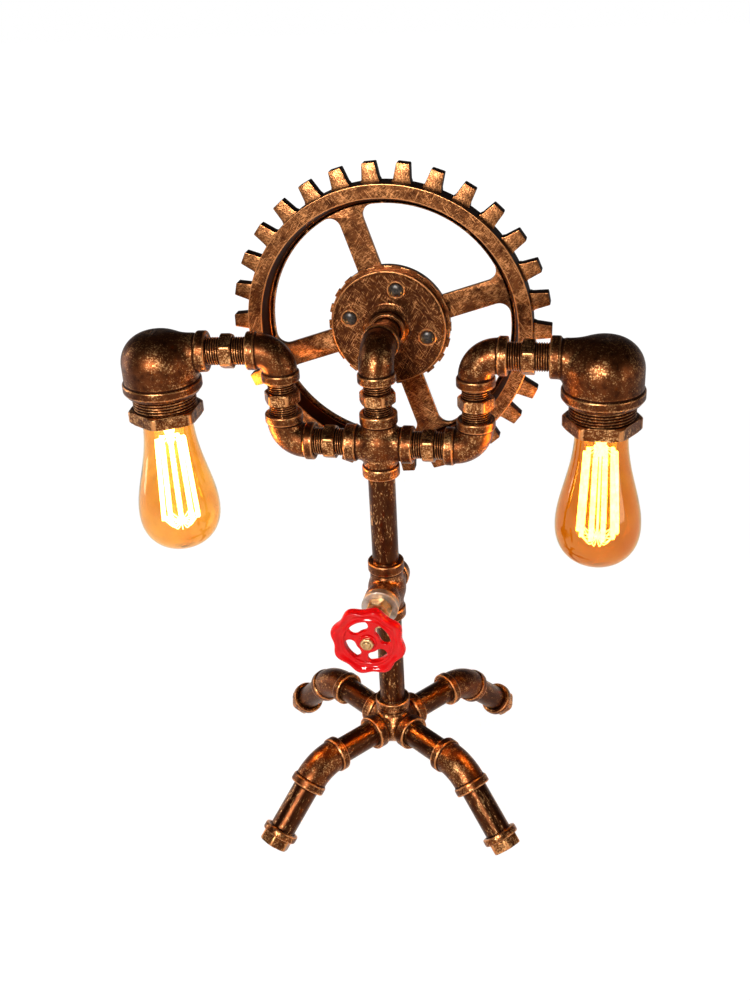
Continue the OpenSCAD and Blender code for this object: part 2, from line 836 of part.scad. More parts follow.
module gland_nut() {
    color(brass) valve_frame() difference() {
        rotate([0, 0, 8]) hexagon(gland_af, hexagon_front, gland_front);
        bore(stem_r + stem_fit, -far, far);
    }
}

module valve_stem() {
    color(brass) valve_frame() {
        bore(stem_r, switch_front + gap, wheel_back);
        bore(wheel_bore_r - 0.05, wheel_back - cut, wheel_face + nut_h + 0.8);
    }
}

// Wavy outline of the handwheel, drawn in by an inset
module wheel_outline(inset) {
    wave = 1.5;
    steps = 12 * lobes;
    polygon([for (i = [0 : steps - 1]) let (a = 360 * i / steps)
        (wheel_r - inset - wave + wave * cos(lobes * (a - lobe_turn))) * [cos(a), sin(a)]]);
}

// Kidney-shaped window centred on +X: a bent slot with round ends
module wheel_window(mid_r, half_w, arc) {
    function slot_end(side, a) = mid_r * [cos(side * arc / 2), sin(side * arc / 2)]
        + half_w * [cos(a + side * arc / 2), sin(a + side * arc / 2)];
    polygon([for (i = [-4 : 4]) (mid_r + half_w) * [cos(i * arc / 10), sin(i * arc / 10)],
        for (a = [0 : 18 : 180]) slot_end(1, a),
        for (i = [4 : -1 : -4]) (mid_r - half_w) * [cos(i * arc / 10), sin(i * arc / 10)],
        for (a = [180 : 18 : 360]) slot_end(-1, a)]);
}

module handwheel() {
    half = rim_t / 2;
    edge = 1.3;
    rim_inner = wheel_r - 3 - rim_t;
    window_half = 4.4;
    window_mid = rim_inner - window_half + 0.6;
    color(red) valve_frame() translate([0, 0, wheel_front]) difference() {
        union() {
            difference() {
                for (layer = [[half, 2 * edge], [half - edge / 2, edge], [half - 1.5 * edge, 0.3 * edge]])
                    translate([0, 0, -layer[0]]) linear_extrude(2 * layer[0]) wheel_outline(layer[1]);
                bore(rim_inner, wheel_web / 2, far);
                bore(rim_inner, -far, -wheel_web / 2);
            }
            bevelled_disc(wheel_hub_d / 2, -wheel_web, wheel_face - wheel_front, 1);
        }
        for (k = [0 : 3]) rotate([0, 0, lobe_turn + 90 * k])
            translate([0, 0, -far]) linear_extrude(2 * far) wheel_window(window_mid, window_half, 30);
        bore(wheel_bore_r, -far, far);
    }
}

module wheel_nut() {
    color(brass) valve_frame() difference() {
        hexagon(wheel_nut_af, wheel_face, wheel_face + nut_h, 0.5);
        bore(wheel_bore_r, -far, far);
    }
}

module cord_gland() {
    color(black) translate([0, 0, valve_z]) rotate([-90, 0, 0]) difference() {
        union() {
            thread(pipe_r, cross_reach - thread_engage, cross_reach);
            hexagon(pipe_d, cross_reach, cross_reach + 4);
            bevelled_disc(pipe_r * 0.72, cross_reach + 3, cross_reach + 11, 1.4);
        }
        bore(cord_hole_d / 2, -far, far);
    }
}

// ---------- Leads ----------

module column_leads() {
    turn_r = 12;
    offset_x = lead_pitch / 2;
    color(red) for (side = [LEFT, RIGHT]) side_frame(side) {
        translate([offset_x, 0, 0]) bore(lead_r, valve_z + terminal_h, top_z - turn_r);
        translate([offset_x, 0, top_z]) rotate([0, 90, -90]) bent_bar(lead_r, 90, turn_r);
        translate([0, 0, top_z]) rotate([0, 90, 0])
            bore(lead_r, offset_x + turn_r, arm_half - elbow_bend_r);
        translate([arm_half, 0, top_z]) rotate([90, 0, 180]) bent_bar(lead_r, 90, elbow_bend_r);
        translate([arm_half, 0, 0]) bore(lead_r, top_z + elbow_bend_r, swing_z);
    }
}

module arm_lead(side) {
    color(red) arm_frame(side) {
        bore(lead_r, swing_z + gap - arm_z, -elbow_bend_r);
        rotate([0, 90, -90]) bent_bar(lead_r, 90, elbow_bend_r);
        rotate([0, 90, 0]) bore(lead_r, elbow_bend_r, tilt_x);
    }
}

module head_lead(side) {
    start = tilt_x + gap - head_reach;
    color(red) head_frame(side) {
        rotate([0, 90, 0]) bore(lead_r, start, -lead_turn_r);
        rotate([-90, 0, 180]) bent_bar(lead_r, 90, lead_turn_r);
        bore(lead_r, -holder_top, -lead_turn_r);
    }
}

base_cross();
leg_stubs();
leg_elbow(0);  // leg_elbow_1
leg_elbow(1);  // leg_elbow_2
leg_elbow(2);  // leg_elbow_3
leg_elbow(3);  // leg_elbow_4
leg_pipes();
foot_cap(0);  // foot_cap_1
foot_cap(1);  // foot_cap_2
foot_cap(2);  // foot_cap_3
foot_cap(3);  // foot_cap_4
lower_pipe();
valve_cross();
upper_pipe();
top_cross();
riser_nipple();
gear_elbow();
flange_nipple();
floor_flange();
flange_screws();
flange_nuts();
gear_wheel();
clamp_ring();
cross_nipple(LEFT);  // cross_nipple_left
cross_nipple(RIGHT);  // cross_nipple_right
lower_elbow(LEFT);  // lower_elbow_left
lower_elbow(RIGHT);  // lower_elbow_right
swing_nipple(LEFT);  // swing_nipple_left
swing_nipple(RIGHT);  // swing_nipple_right
rotary_switch();
bonnet();
valve_hexagon();
gland_nut();
cord_gland();
column_leads();
upper_elbow(LEFT);  // upper_elbow_left
upper_elbow(RIGHT);  // upper_elbow_right
head_nipple(LEFT);  // head_nipple_left
head_nipple(RIGHT);  // head_nipple_right
arm_lead(LEFT);  // arm_lead_left
arm_lead(RIGHT);  // arm_lead_right
reducing_elbow(LEFT);  // reducing_elbow_left
reducing_elbow(RIGHT);  // reducing_elbow_right
hex_bushing(LEFT);  // hex_bushing_left
hex_bushing(RIGHT);  // hex_bushing_right
lampholder(LEFT);  // lampholder_left
lampholder(RIGHT);  // lampholder_right
holder_contacts(LEFT);  // holder_contacts_left
holder_contacts(RIGHT);  // holder_contacts_right
head_lead(LEFT);  // head_lead_left
head_lead(RIGHT);  // head_lead_right
bulb_glass(LEFT);  // bulb_glass_left
bulb_glass(RIGHT);  // bulb_glass_right
bulb_cap(LEFT);  // bulb_cap_left
bulb_cap(RIGHT);  // bulb_cap_right
bulb_filament(LEFT);  // bulb_filament_left
bulb_filament(RIGHT);  // bulb_filament_right
valve_stem();
handwheel();
wheel_nut();
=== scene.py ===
"""Industrial pipe table lamp: castings, pipes, gear wheel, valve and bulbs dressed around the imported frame."""
import math

import bmesh
import bpy
import numpy as np
from mathutils import Matrix, Vector


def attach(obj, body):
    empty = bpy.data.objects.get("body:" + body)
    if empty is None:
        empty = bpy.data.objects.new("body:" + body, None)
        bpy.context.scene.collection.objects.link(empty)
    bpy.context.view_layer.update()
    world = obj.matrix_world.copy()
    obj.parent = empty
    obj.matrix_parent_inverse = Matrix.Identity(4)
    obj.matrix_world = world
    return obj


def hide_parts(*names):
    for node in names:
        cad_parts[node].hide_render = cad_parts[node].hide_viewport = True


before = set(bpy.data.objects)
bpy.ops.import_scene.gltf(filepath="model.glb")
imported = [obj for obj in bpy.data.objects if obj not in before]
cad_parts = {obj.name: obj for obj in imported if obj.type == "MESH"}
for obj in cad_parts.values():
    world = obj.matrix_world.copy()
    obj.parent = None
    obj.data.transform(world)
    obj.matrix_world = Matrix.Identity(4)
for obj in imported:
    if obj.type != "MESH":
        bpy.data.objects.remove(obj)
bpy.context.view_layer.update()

bl_info = {
    "name": "Pipe table lamp",
    "version": (1, 0, 0),
    "blender": (4, 5, 0),
    "location": "View3D > Sidebar > Lamp",
    "description": "Builds the dressed pieces of a table lamp made from pipe fittings",
    "category": "Add Mesh",
}

MM = 0.001
LEFT, RIGHT = -1, 1
SIDES = {LEFT: "left", RIGHT: "right"}

# Lengths in millimetres that several pieces share.
SOCKET_DEPTH = 9.5
FOOT_LENGTH = 14.4
NECK_REACH = 38.5
GEAR_BACK = -66.3
FLANGE_BACK, FLANGE_FRONT = -58.4, -52.9
GLASS_SEAM, GLASS_NECK, GLASS_TIP = 48.0, 53.0, 166.0

# Bevels of the hexagons, each step its inset from the corners and its distance from the end face.
NIPPLE_BEVEL = ((1.75, 0.0), (1.05, 0.28), (0.60, 0.62), (0.25, 1.2))
FOOT_BEVEL = ((1.2, 0.0), (0.6, 0.5), (0.2, 1.2))
BUSHING_BEVEL = ((2.6, 0.0), (1.2, 0.5), (0.5, 1.1), (0.0, 2.0))
BRASS_BEVEL = ((1.45, 0.0), (0.85, 0.22), (0.45, 0.5), (0.15, 1.0))


# ---------- Settings ----------

def size(label, text, millimetres):
    """A length that the panel shows, given in millimetres."""
    return bpy.props.FloatProperty(name=label, description=text, default=millimetres * MM, unit="LENGTH",
                                   precision=4, min=0.0)


def angle(label, text, degrees):
    """An angle that the panel shows, given in degrees."""
    return bpy.props.FloatProperty(name=label, description=text, default=math.radians(degrees), subtype="ANGLE")


def colour(label, text, value):
    """A colour that the panel shows."""
    return bpy.props.FloatVectorProperty(name=label, description=text, default=value, size=3, subtype="COLOR",
                                         min=0.0, max=1.0)


class LampSizes(bpy.types.PropertyGroup):
    """Sizes shared by the lamp's pieces"""
    pipe_d: size("Pipe diameter", "Outside diameter of the pipes", 21.3)
    pipe_wall: size("Pipe wall", "Wall of the pipes", 2.6)
    thread_pitch: size("Thread pitch", "Pitch of the pipe threads", 1.8)
    thread_depth: size("Thread depth", "Depth of the pipe threads", 0.9)
    body_d: size("Fitting body", "Diameter of a fitting's body", 26.4)
    collar_d: size("Fitting collar", "Diameter of the collar at each mouth", 29.2)
    core_d: size("Base core", "Diameter of the base cross's round core", 35.0)
    elbow_reach: size("Elbow reach", "Centre to face of the right-angled elbows", 23.6)
    elbow_collar_w: size("Elbow collar", "Collar width of the right-angled elbows", 7.0)
    cross_reach: size("Cross reach", "Centre to face of the crosses", 26.2)
    cross_collar_w: size("Cross collar", "Collar width of the crosses", 8.6)
    bend_reach: size("Leg elbow reach", "Centre to face of the leg elbows", 21.5)
    bend_collar_w: size("Leg elbow collar", "Collar width of the leg elbows", 6.6)
    nipple_af: size("Nipple hexagon", "Width across flats of the hexagon nipples", 24.6)
    nipple_hex: size("Nipple hexagon length", "Length of the hexagon on a nipple", 9.0)
    leg_reach: size("Leg reach", "Column axis to the centre of a leg elbow", 82.4)
    leg_run: size("Leg run", "Leg elbow's centre to the end of the foot", 75.0)
    arm_half: size("Arm reach", "Column axis to the axis of an arm's elbows", 74.3)
    head_reach: size("Head reach", "Arm elbow axis to bulb axis", 92.3)
    base_z: size("Base level", "Floor to the base cross's centre", 60.423)
    valve_z: size("Valve level", "Floor to the valve's axis", 196.223)
    top_z: size("Top cross level", "Floor to the top cross's centre", 325.423)
    arm_z: size("Arm level", "Floor to the level of the heads", 399.023)
    gear_z: size("Gear level", "Floor to the gear's axis", 399.823)
    leg_slope: angle("Leg slope", "Slope of the legs below level", 45)
    base_turn: angle("Base turn", "Turn of the base on the column", 7)
    left_turn: angle("Left arm turn", "Turn of the left arm towards the front", 5.8)


class LampColours(bpy.types.PropertyGroup):
    """Colours of the lamp's finishes"""
    dark: colour("Dark bronze", "Ground colour of the bronze finish", (0.028, 0.007, 0.002))
    brown: colour("Brown bronze", "Middle tone of the bronze finish", (0.150, 0.042, 0.011))
    umber: colour("Umber", "Ground colour of the pipes and the floor flange", (0.064, 0.019, 0.0055))
    plate: colour("Brushed bronze", "Ground colour of the gear's faces", (0.130, 0.042, 0.013))
    rubbed: colour("Rubbed bronze", "Speckle that is rubbed onto the fittings", (0.92, 0.49, 0.20))
    copper: colour("Copper", "Worn edges and the gear's brushed faces", (0.56, 0.235, 0.085))
    red: colour("Wheel red", "Paint of the handwheel", (0.48, 0.002, 0.003))
    brass: colour("Brass", "Hexagon, nuts and bulb caps", (0.74, 0.50, 0.24))
    zinc: colour("Zinc", "Bonnet disc and hidden nuts", (0.50, 0.46, 0.42))
    amber: colour("Amber", "Glass of the bulbs", (1.0, 0.64, 0.21))
    glow: colour("Filament glow", "Light of the filament", (1.0, 0.92, 0.80))


def mm(name):
    """A shared size in millimetres."""
    return getattr(bpy.context.scene.lamp_sizes, name) / MM


def degrees(name):
    """A shared angle in degrees."""
    return math.degrees(getattr(bpy.context.scene.lamp_sizes, name))


def paint(name):
    """A shared colour with full opacity."""
    return (*getattr(bpy.context.scene.lamp_colours, name), 1.0)


def bore_radius():
    """Inner radius of the pipes."""
    return mm("pipe_d") / 2 - mm("pipe_wall")


def socket_radius():
    """Radius of a fitting's socket, a little wider than the pipe."""
    return mm("pipe_d") / 2 + 0.12


# ---------- Places, as in the frame ----------

def turn(x=0.0, y=0.0, z=0.0):
    """Turn about X, then Y, then Z, in degrees."""
    return (Matrix.Rotation(math.radians(z), 4, "Z") @ Matrix.Rotation(math.radians(y), 4, "Y")
            @ Matrix.Rotation(math.radians(x), 4, "X"))


def shift(x=0.0, y=0.0, z=0.0):
    """Move in millimetres."""
    return Matrix.Translation((x, y, z))


def leg_place(k):
    """Local +X along leg k at the base cross."""
    return shift(z=mm("base_z")) @ turn(z=45 + 90 * k + degrees("base_turn"))


def slope_place(k):
    """Local +Z down the slope of leg k, from the elbow's centre."""
    return leg_place(k) @ shift(x=mm("leg_reach")) @ turn(y=90 + degrees("leg_slope"))


def side_place(side):
    """Local +X from the column to one side."""
    return turn(z=0 if side > 0 else 180)


def arm_place(side):
    """Local +X along an arm from its swing axis."""
    return shift(x=side * mm("arm_half"), z=mm("arm_z")) @ turn(z=0 if side > 0 else 180 + degrees("left_turn"))


def head_place(side):
    """Origin on the bulb's axis at the arm level."""
    return arm_place(side) @ shift(x=mm("head_reach"))


def gear_place():
    """Local +Z to the front on the gear's axis."""
    return shift(z=mm("gear_z")) @ turn(x=90)


def valve_place():
    """Local +Z to the front on the valve's axis."""
    return shift(z=mm("valve_z")) @ turn(x=90)


# ---------- Meshes ----------

def in_metres(place):
    """The same place with its move given in metres."""
    metres = place.copy()
    metres.translation = place.translation * MM
    return metres


def add_object(name, data):
    """A new object in the scene."""
    piece = bpy.data.objects.new(name, data)
    bpy.context.scene.collection.objects.link(piece)
    return piece


def make_piece(name, verts, faces, material, place=Matrix.Identity(4), wear=None, sharp=38.0):
    """A closed mesh from points in millimetres, set in place, with its wear and its own unplaced coordinates kept."""
    verts = np.asarray(verts, float)
    mesh = bpy.data.meshes.new(name)
    mesh.from_pydata((verts * MM).tolist(), [], faces if isinstance(faces, list) else faces.tolist())
    worn = mesh.attributes.new("wear", "FLOAT", "POINT")
    worn.data.foreach_set("value", np.asarray(np.zeros(len(verts)) if wear is None else wear, np.float32))
    grain = mesh.attributes.new("grain", "FLOAT_VECTOR", "POINT")
    grain.data.foreach_set("vector", (verts * MM).astype(np.float32).ravel())
    mesh.transform(in_metres(place))
    bm = bmesh.new()
    bm.from_mesh(mesh)
    bmesh.ops.remove_doubles(bm, verts=bm.verts, dist=1e-6)
    bmesh.ops.dissolve_degenerate(bm, edges=bm.edges, dist=1e-7)
    bm.to_mesh(mesh)
    bm.free()
    mesh.materials.append(material)
    mesh.shade_smooth()
    if sharp:
        mesh.set_sharp_from_angle(angle=math.radians(sharp))
    return add_object(name, mesh)


def join_pieces(name, parts):
    """One object from several, with its own place still at the origin."""
    with bpy.context.temp_override(active_object=parts[0], object=parts[0], selected_objects=parts,
                                   selected_editable_objects=parts):
        bpy.ops.object.join()
    parts[0].name = name
    return parts[0]


def ring_faces(rows, columns):
    """Quads between neighbouring rings, the last ring joined to the first."""
    i, j = np.meshgrid(np.arange(rows), np.arange(columns), indexing="ij")
    i2, j2 = (i + 1) % rows, (j + 1) % columns
    return np.stack([i * columns + j, i * columns + j2, i2 * columns + j2, i2 * columns + j], -1).reshape(-1, 4)


def ring_points(radii, heights, turns):
    """Points at radius, angle (radians) and height, rows of rings."""
    radii, heights, turns = np.broadcast_arrays(radii, heights, turns)
    return np.stack([radii * np.cos(turns), radii * np.sin(turns), heights], -1).reshape(-1, 3)


def round_corners(outline, radius, steps=3):
    """Outline of (r, z) points with each corner rounded, and how far each point stands out."""
    points = np.asarray(outline, float)
    shaped, stand = [], []
    for k in range(len(points)):
        before, here, after = points[k - 1], points[k], points[(k + 1) % len(points)]
        a, b = before - here, after - here
        la, lb = np.linalg.norm(a), np.linalg.norm(b)
        if la < 1e-9 or lb < 1e-9:
            continue
        a, b = a / la, b / lb
        bend = math.acos(max(-1.0, min(1.0, float(-a @ b))))
        if bend < math.radians(12) or here[0] < 1e-6:
            shaped.append(here)
            stand.append(0.0)
            continue
        cut = min(radius * math.tan(bend / 2), la * 0.42, lb * 0.42)
        if la - cut > 1.2:
            shaped.append(here + a * (cut + 0.3))
            stand.append(0.0)
        out = 1.0 if b[0] * a[1] - b[1] * a[0] > 0 else -1.0
        for s in range(steps + 1):
            t = s / steps
            shaped.append((1 - t) ** 2 * (here + a * cut) + 2 * t * (1 - t) * here + t ** 2 * (here + b * cut))
            stand.append(out * min(1.0, bend / 1.2))
        if lb - cut > 1.2:
            shaped.append(here + b * (cut + 0.3))
            stand.append(0.0)
    return np.array(shaped), np.array(stand)


def even_turns(count):
    """Angles evenly round a circle, in radians."""
    return np.arange(count) * 2 * math.pi / count


def turned(name, outline, material, place, radius=0.5, segments=72, worn=1.0, sharp=38.0):
    """A turned piece from a closed outline of (r, z) points that runs up its outer side."""
    shaped, stand = round_corners(outline, radius)
    verts = ring_points(shaped[:, :1], shaped[:, 1:], even_turns(segments))
    return make_piece(name, verts, ring_faces(len(shaped), segments), material, place,
                      np.repeat(stand * worn, segments), sharp)


def hexagon_turns(offset=0.0, inner=10):
    """Angles round a hexagon with a narrow bevel at each corner, in radians."""
    steps = [1.8 + (60 - 3.6) * i / inner for i in range(inner + 1)]
    return np.radians([60 * k + s + offset for k in range(6) for s in steps])


def hexagon_radius(turns, across_flats, offset=0.0):
    """Radius of a hexagon's outline, its corners cut at the narrow bevel."""
    off = (np.degrees(turns) - offset) % 60 - 30
    return across_flats / 2 / np.cos(np.radians(off))


def thread_ridge(heights, turns, pitch):
    """Share of the thread's depth below its crest along a helix."""
    u = (heights / pitch - turns / (2 * math.pi)) % 1.0
    return 0.5 + 0.5 * np.cos(2 * math.pi * u) * (1.25 - 0.25 * np.cos(2 * math.pi * u) ** 2)


class Rings:
    """Rings round the Z axis, listed along the outer side and back along the inner side"""

    def __init__(self, turns):
        self.turns, self.rows = turns, []

    def add(self, radius, z, wear=0.0):
        """One ring, whose radius and wear are one value or one for each angle."""
        self.rows.append([np.broadcast_to(value, self.turns.shape) for value in (radius, z, wear)])

    def add_all(self, *rings):
        """Several rings, each given as its radius, height and wear."""
        for ring in rings:
            self.add(*ring)

    def add_thread(self, heights, crest_r, depth, pitch, crest_wear, fall):
        """Rings along a helical thread, worn at its crest and less so towards its root."""
        for z in heights:
            ridge = thread_ridge(z, self.turns, pitch)
            self.add(crest_r - depth * ridge, z, crest_wear - fall * ridge)

    def piece(self, name, material, place=Matrix.Identity(4), sharp=32.0):
        """The closed mesh through all the rings."""
        radii, heights, wear = np.array(self.rows, float).transpose(1, 0, 2)
        return make_piece(name, ring_points(radii, heights, self.turns), ring_faces(*radii.shape), material, place,
                          wear.ravel(), sharp)


class HexagonRings(Rings):
    """Rings on a hexagon whose corners are slightly cut back"""

    def __init__(self, across_flats, cut, spin=0.0, inner=10):
        super().__init__(hexagon_turns(spin, inner))
        self.corner = across_flats / 2 / math.cos(math.pi / 6)
        self.six = np.minimum(hexagon_radius(self.turns, across_flats, spin), self.corner - cut)

    def corner_wear(self, width, plain):
        """Full wear near the corners and a plain value on the flats."""
        return np.where(self.six > self.corner - width, 1.0, plain)

    def add_bevel(self, face, into, steps, wear=0.0, face_wear=0.0):
        """Rings between an end face and the flats, always upwards."""
        for inset, z in (steps if into > 0 else steps[::-1]):
            self.add(np.minimum(self.six, self.corner - inset), face + into * z, wear if z else face_wear)


# ---------- Flat plates and drawn curves ----------

def arc(radius, first, last, count, centre=(0.0, 0.0)):
    """Points along an arc between two angles in degrees."""
    return [(centre[0] + radius * math.cos(a), centre[1] + radius * math.sin(a))
            for a in np.radians(np.linspace(first, last, count))]


def spun(points, around):
    """Flat points turned about the origin, in degrees."""
    c, s = math.cos(math.radians(around)), math.sin(math.radians(around))
    return [(x * c - y * s, x * s + y * c) for x, y in points]


def mesh_parts(mesh):
    """Points in millimetres and faces of a mesh."""
    return np.array([v.co for v in mesh.vertices]) / MM, [tuple(p.vertices) for p in mesh.polygons]


def drawn_parts(curve):
    """Points in millimetres and faces of what a curve draws."""
    drawn = add_object(curve.name, curve)
    bpy.context.view_layer.update()
    mesh = bpy.data.meshes.new_from_object(drawn.evaluated_get(bpy.context.evaluated_depsgraph_get()))
    bpy.data.objects.remove(drawn)
    return mesh_parts(mesh)


def cut_plate(name, outlines, thickness, edge, steps):
    """Points and faces of a level plate with windows and rounded edges, its middle at height zero."""
    flat = bpy.data.curves.new(name, "CURVE")
    flat.dimensions, flat.fill_mode = "2D", "BOTH"
    flat.extrude = (thickness / 2 - edge) * MM
    flat.bevel_depth, flat.bevel_resolution, flat.offset = edge * MM, steps, -edge * MM
    for outline in outlines:
        line = flat.splines.new("POLY")
        line.points.add(len(outline) - 1)
        line.use_cyclic_u = True
        for point, (x, y) in zip(line.points, outline):
            point.co = (x * MM, y * MM, 0, 1)
    return drawn_parts(flat)


# ---------- Castings: rounded forms from distances, in millimetres ----------

def soft_join(a, b, blend):
    """Union of two distances with a fillet."""
    h = np.clip(0.5 + 0.5 * (b - a) / blend, 0, 1)
    return b * (1 - h) + a * h - blend * h * (1 - h)


def soft_cut(a, b, blend=0.5):
    """Distance a without distance b, the edge slightly rounded."""
    return -soft_join(-a, b, blend)


def disc_distance(radial, along, radius, start, end, edge):
    """Round-edged disc between two heights."""
    q0 = radial - radius + edge
    q1 = np.abs(along - (start + end) / 2) - (end - start) / 2 + edge
    return np.minimum(np.maximum(q0, q1), 0) + np.hypot(np.maximum(q0, 0), np.maximum(q1, 0)) - edge


def mouth_cut(radial, along, reach):
    """Thread socket, pipe bore and countersunk mouth of a fitting."""
    socket = socket_radius()
    hole = np.maximum(radial - bore_radius(), -along)
    hole = np.minimum(hole, np.maximum(radial - socket, reach - SOCKET_DEPTH - along))
    return np.minimum(hole, (radial - socket - (along - reach + 1.1)) * 0.71)


def axial(p, v):
    """Distance along an axis and out from it."""
    along = p @ np.asarray(v, float)
    return along, np.sqrt(np.maximum((p * p).sum(1) - along ** 2, 0))


def cross_distance(p, arms, core_d):
    """Cross with straight outlets along the arms."""
    reach, width = mm("cross_reach"), mm("cross_collar_w")
    body = np.linalg.norm(p, axis=1) - core_d / 2
    collars = np.full(len(p), 1e3)
    holes = np.linalg.norm(p, axis=1) - bore_radius()
    for v in arms:
        along, radial = axial(p, v)
        tube = np.hypot(radial, np.minimum(along, 0)) - mm("body_d") / 2
        body = soft_join(body, np.maximum(tube, along - reach + width / 2), 4.2)
        collars = np.minimum(collars, disc_distance(radial, along, mm("collar_d") / 2, reach - width, reach, 1.0))
        holes = np.minimum(holes, mouth_cut(radial, along, reach))
    return soft_cut(soft_join(body, collars, 1.3), holes)


def elbow_distance(p, reach, width, bend):
    """Elbow with one mouth along +X and the other turned away from it in the XY plane."""
    start = reach - width
    bend_r = start / math.tan(math.radians(bend) / 2)
    away = math.radians(180 - bend)
    mouths = [np.array([1.0, 0, 0]), np.array([math.cos(away), math.sin(away), 0])]
    (a0, r0), (a1, r1) = axial(p, mouths[0]), axial(p, mouths[1])
    ring = np.hypot(p[:, 0] - start, p[:, 1] - bend_r) - bend_r
    curve = np.hypot(ring, p[:, 2])
    spine = np.where((a0 > start) & (a1 > start), np.minimum(r0, r1),
                     np.where(a0 > start, r0, np.where(a1 > start, r1, curve)))
    body = spine - mm("body_d") / 2
    holes = spine - bore_radius()
    collars = np.full(len(p), 1e3)
    for along, radial in ((a0, r0), (a1, r1)):
        body = np.maximum(body, along - reach + width / 2)
        collars = np.minimum(collars, disc_distance(radial, along, mm("collar_d") / 2, start, reach, 1.0))
        holes = np.minimum(holes, np.maximum(mouth_cut(radial, along, reach), start - along))
    return soft_cut(soft_join(body, collars, 1.5), holes)


def dome_distance(p, radius, top, rounding, bottom):
    """Upright round body with a flat roof and a round shoulder."""
    radial = np.hypot(p[:, 0], p[:, 1])
    q0, q1 = radial - radius + rounding, p[:, 2] - top + rounding
    shell = np.hypot(np.maximum(q0, 0), np.maximum(q1, 0)) + np.minimum(np.maximum(q0, q1), 0) - rounding
    return np.maximum(shell, bottom - p[:, 2])


def head_distance(p):
    """Reducing elbow: small mouth along -X, large mouth downwards."""
    neck_reach, neck_w, neck_r, drop, run, lower = NECK_REACH, 8.0, 13.7, 6.4, 22.0, 32.0
    start, length = neck_reach - neck_w, math.hypot(run, drop)
    body = dome_distance(p, 29.0, 15.6, 23.5, -lower + 4)
    along, radial = axial(p, (-1.0, 0, 0))
    tilt = math.atan(drop / run)
    q = p - np.array([-start, 0, 0])
    a, r = axial(q, (math.cos(tilt), 0, -math.sin(tilt)))
    flare = np.maximum((r - neck_r - a * drop / length) * 0.96, np.maximum(-a, a - length))
    body = soft_join(body, flare, 5.0)
    neck = np.maximum(radial - neck_r, np.maximum(along - neck_reach + neck_w / 2, -along))
    body = soft_join(body, neck, 3.0)
    out = np.hypot(p[:, 0], p[:, 1])
    z = p[:, 2]
    band = disc_distance(out, z, 30.5, -lower, -lower + 9.6, 1.1)
    band = np.maximum(band, (out - 27.9 - (z + lower) * 0.765) * 0.79)
    body = soft_join(body, band, 1.4)
    body = soft_join(body, disc_distance(radial, along, 15.7, start, neck_reach, 1.5), 1.4)
    inside = dome_distance(p, 25.6, 12.2, 20.1, -lower + 13)
    inside = np.minimum(inside, np.maximum(out - 24.72, z + lower - 14))
    inside = np.minimum(inside, mouth_cut(radial, along, neck_reach))
    return soft_cut(body, inside)


EDGES = [(a, a | bit) for bit in (1, 2, 4) for a in range(8) if not a & bit]


def cast_surface(distance, low, high, step):
    """Points and quads of a closed surface where the distance is zero, drawn onto it, and how far each stands out."""
    axes = [np.arange(lo - 2 * step, hi + 3 * step, step) for lo, hi in zip(low, high)]
    shape = tuple(len(a) for a in axes)
    grid = np.stack(np.meshgrid(*axes, indexing="ij"), -1).reshape(-1, 3)
    field = distance(grid).reshape(shape)
    inside = field < 0
    corners = [tuple(slice((c >> k) & 1, shape[k] - 1 + ((c >> k) & 1)) for k in range(3)) for c in range(8)]
    count = sum(inside[c].astype(np.int8) for c in corners)
    mixed = (count > 0) & (count < 8)
    cells = np.argwhere(mixed)
    values = np.stack([field[c][mixed] for c in corners], 1)
    total, hits = np.zeros((len(cells), 3)), np.zeros((len(cells), 1))
    for a, b in EDGES:
        va, vb = values[:, a], values[:, b]
        crossed = (va < 0) != (vb < 0)
        t = np.where(crossed, va / np.where(crossed, va - vb, 1), 0)
        pa = np.array([(a >> k) & 1 for k in range(3)], float)
        pb = np.array([(b >> k) & 1 for k in range(3)], float)
        total += np.where(crossed[:, None], pa + t[:, None] * (pb - pa), 0)
        hits += crossed[:, None]
    points = np.array([a[0] for a in axes]) + (cells + total / hits) * step
    index = np.full(mixed.shape, -1)
    index[mixed] = np.arange(len(cells))
    faces = []
    for a, b, c in ((0, 1, 2), (1, 2, 0), (2, 0, 1)):
        low_side, high_side = [slice(None)] * 3, [slice(None)] * 3
        low_side[a], high_side[a] = slice(0, -1), slice(1, None)
        first, second = inside[tuple(low_side)], inside[tuple(high_side)]
        at = np.argwhere(first != second)
        at = at[(at[:, b] > 0) & (at[:, c] > 0) & (at[:, b] < shape[b] - 1) & (at[:, c] < shape[c] - 1)]
        quad = []
        for db, dc in ((-1, -1), (0, -1), (0, 0), (-1, 0)):
            cell = at.copy()
            cell[:, b] += db
            cell[:, c] += dc
            quad.append(index[cell[:, 0], cell[:, 1], cell[:, 2]])
        quad = np.stack(quad, 1)
        outward = first[at[:, 0], at[:, 1], at[:, 2]]
        faces.append(np.where(outward[:, None], quad, quad[:, ::-1]))
    for _ in range(3):
        points = points - np.clip(distance(points), -step, step)[:, None] * slope_of(distance, points)
    here, reach = distance(points), 0.9
    around = sum(distance(points + reach * s * np.eye(3)[k]) for k in range(3) for s in (-1, 1))
    stand = (around - 6 * here) / reach ** 2
    return points, np.concatenate(faces), stand


def slope_of(distance, points):
    """Outward unit direction of a distance at each point."""
    e = 0.04
    g = np.stack([distance(points + e * np.eye(3)[k]) - distance(points - e * np.eye(3)[k]) for k in range(3)], 1)
    return g / np.maximum(np.linalg.norm(g, axis=1, keepdims=True), 1e-9)


def cast_wear(stand):
    """Wear of a casting: 1 on proud edges, -1 in deep corners."""
    return np.clip(np.where(stand > 0, (stand - 0.22) * 1.6, (stand + 0.12) * 1.8), -1, 1)


# ---------- Geometry Nodes ----------

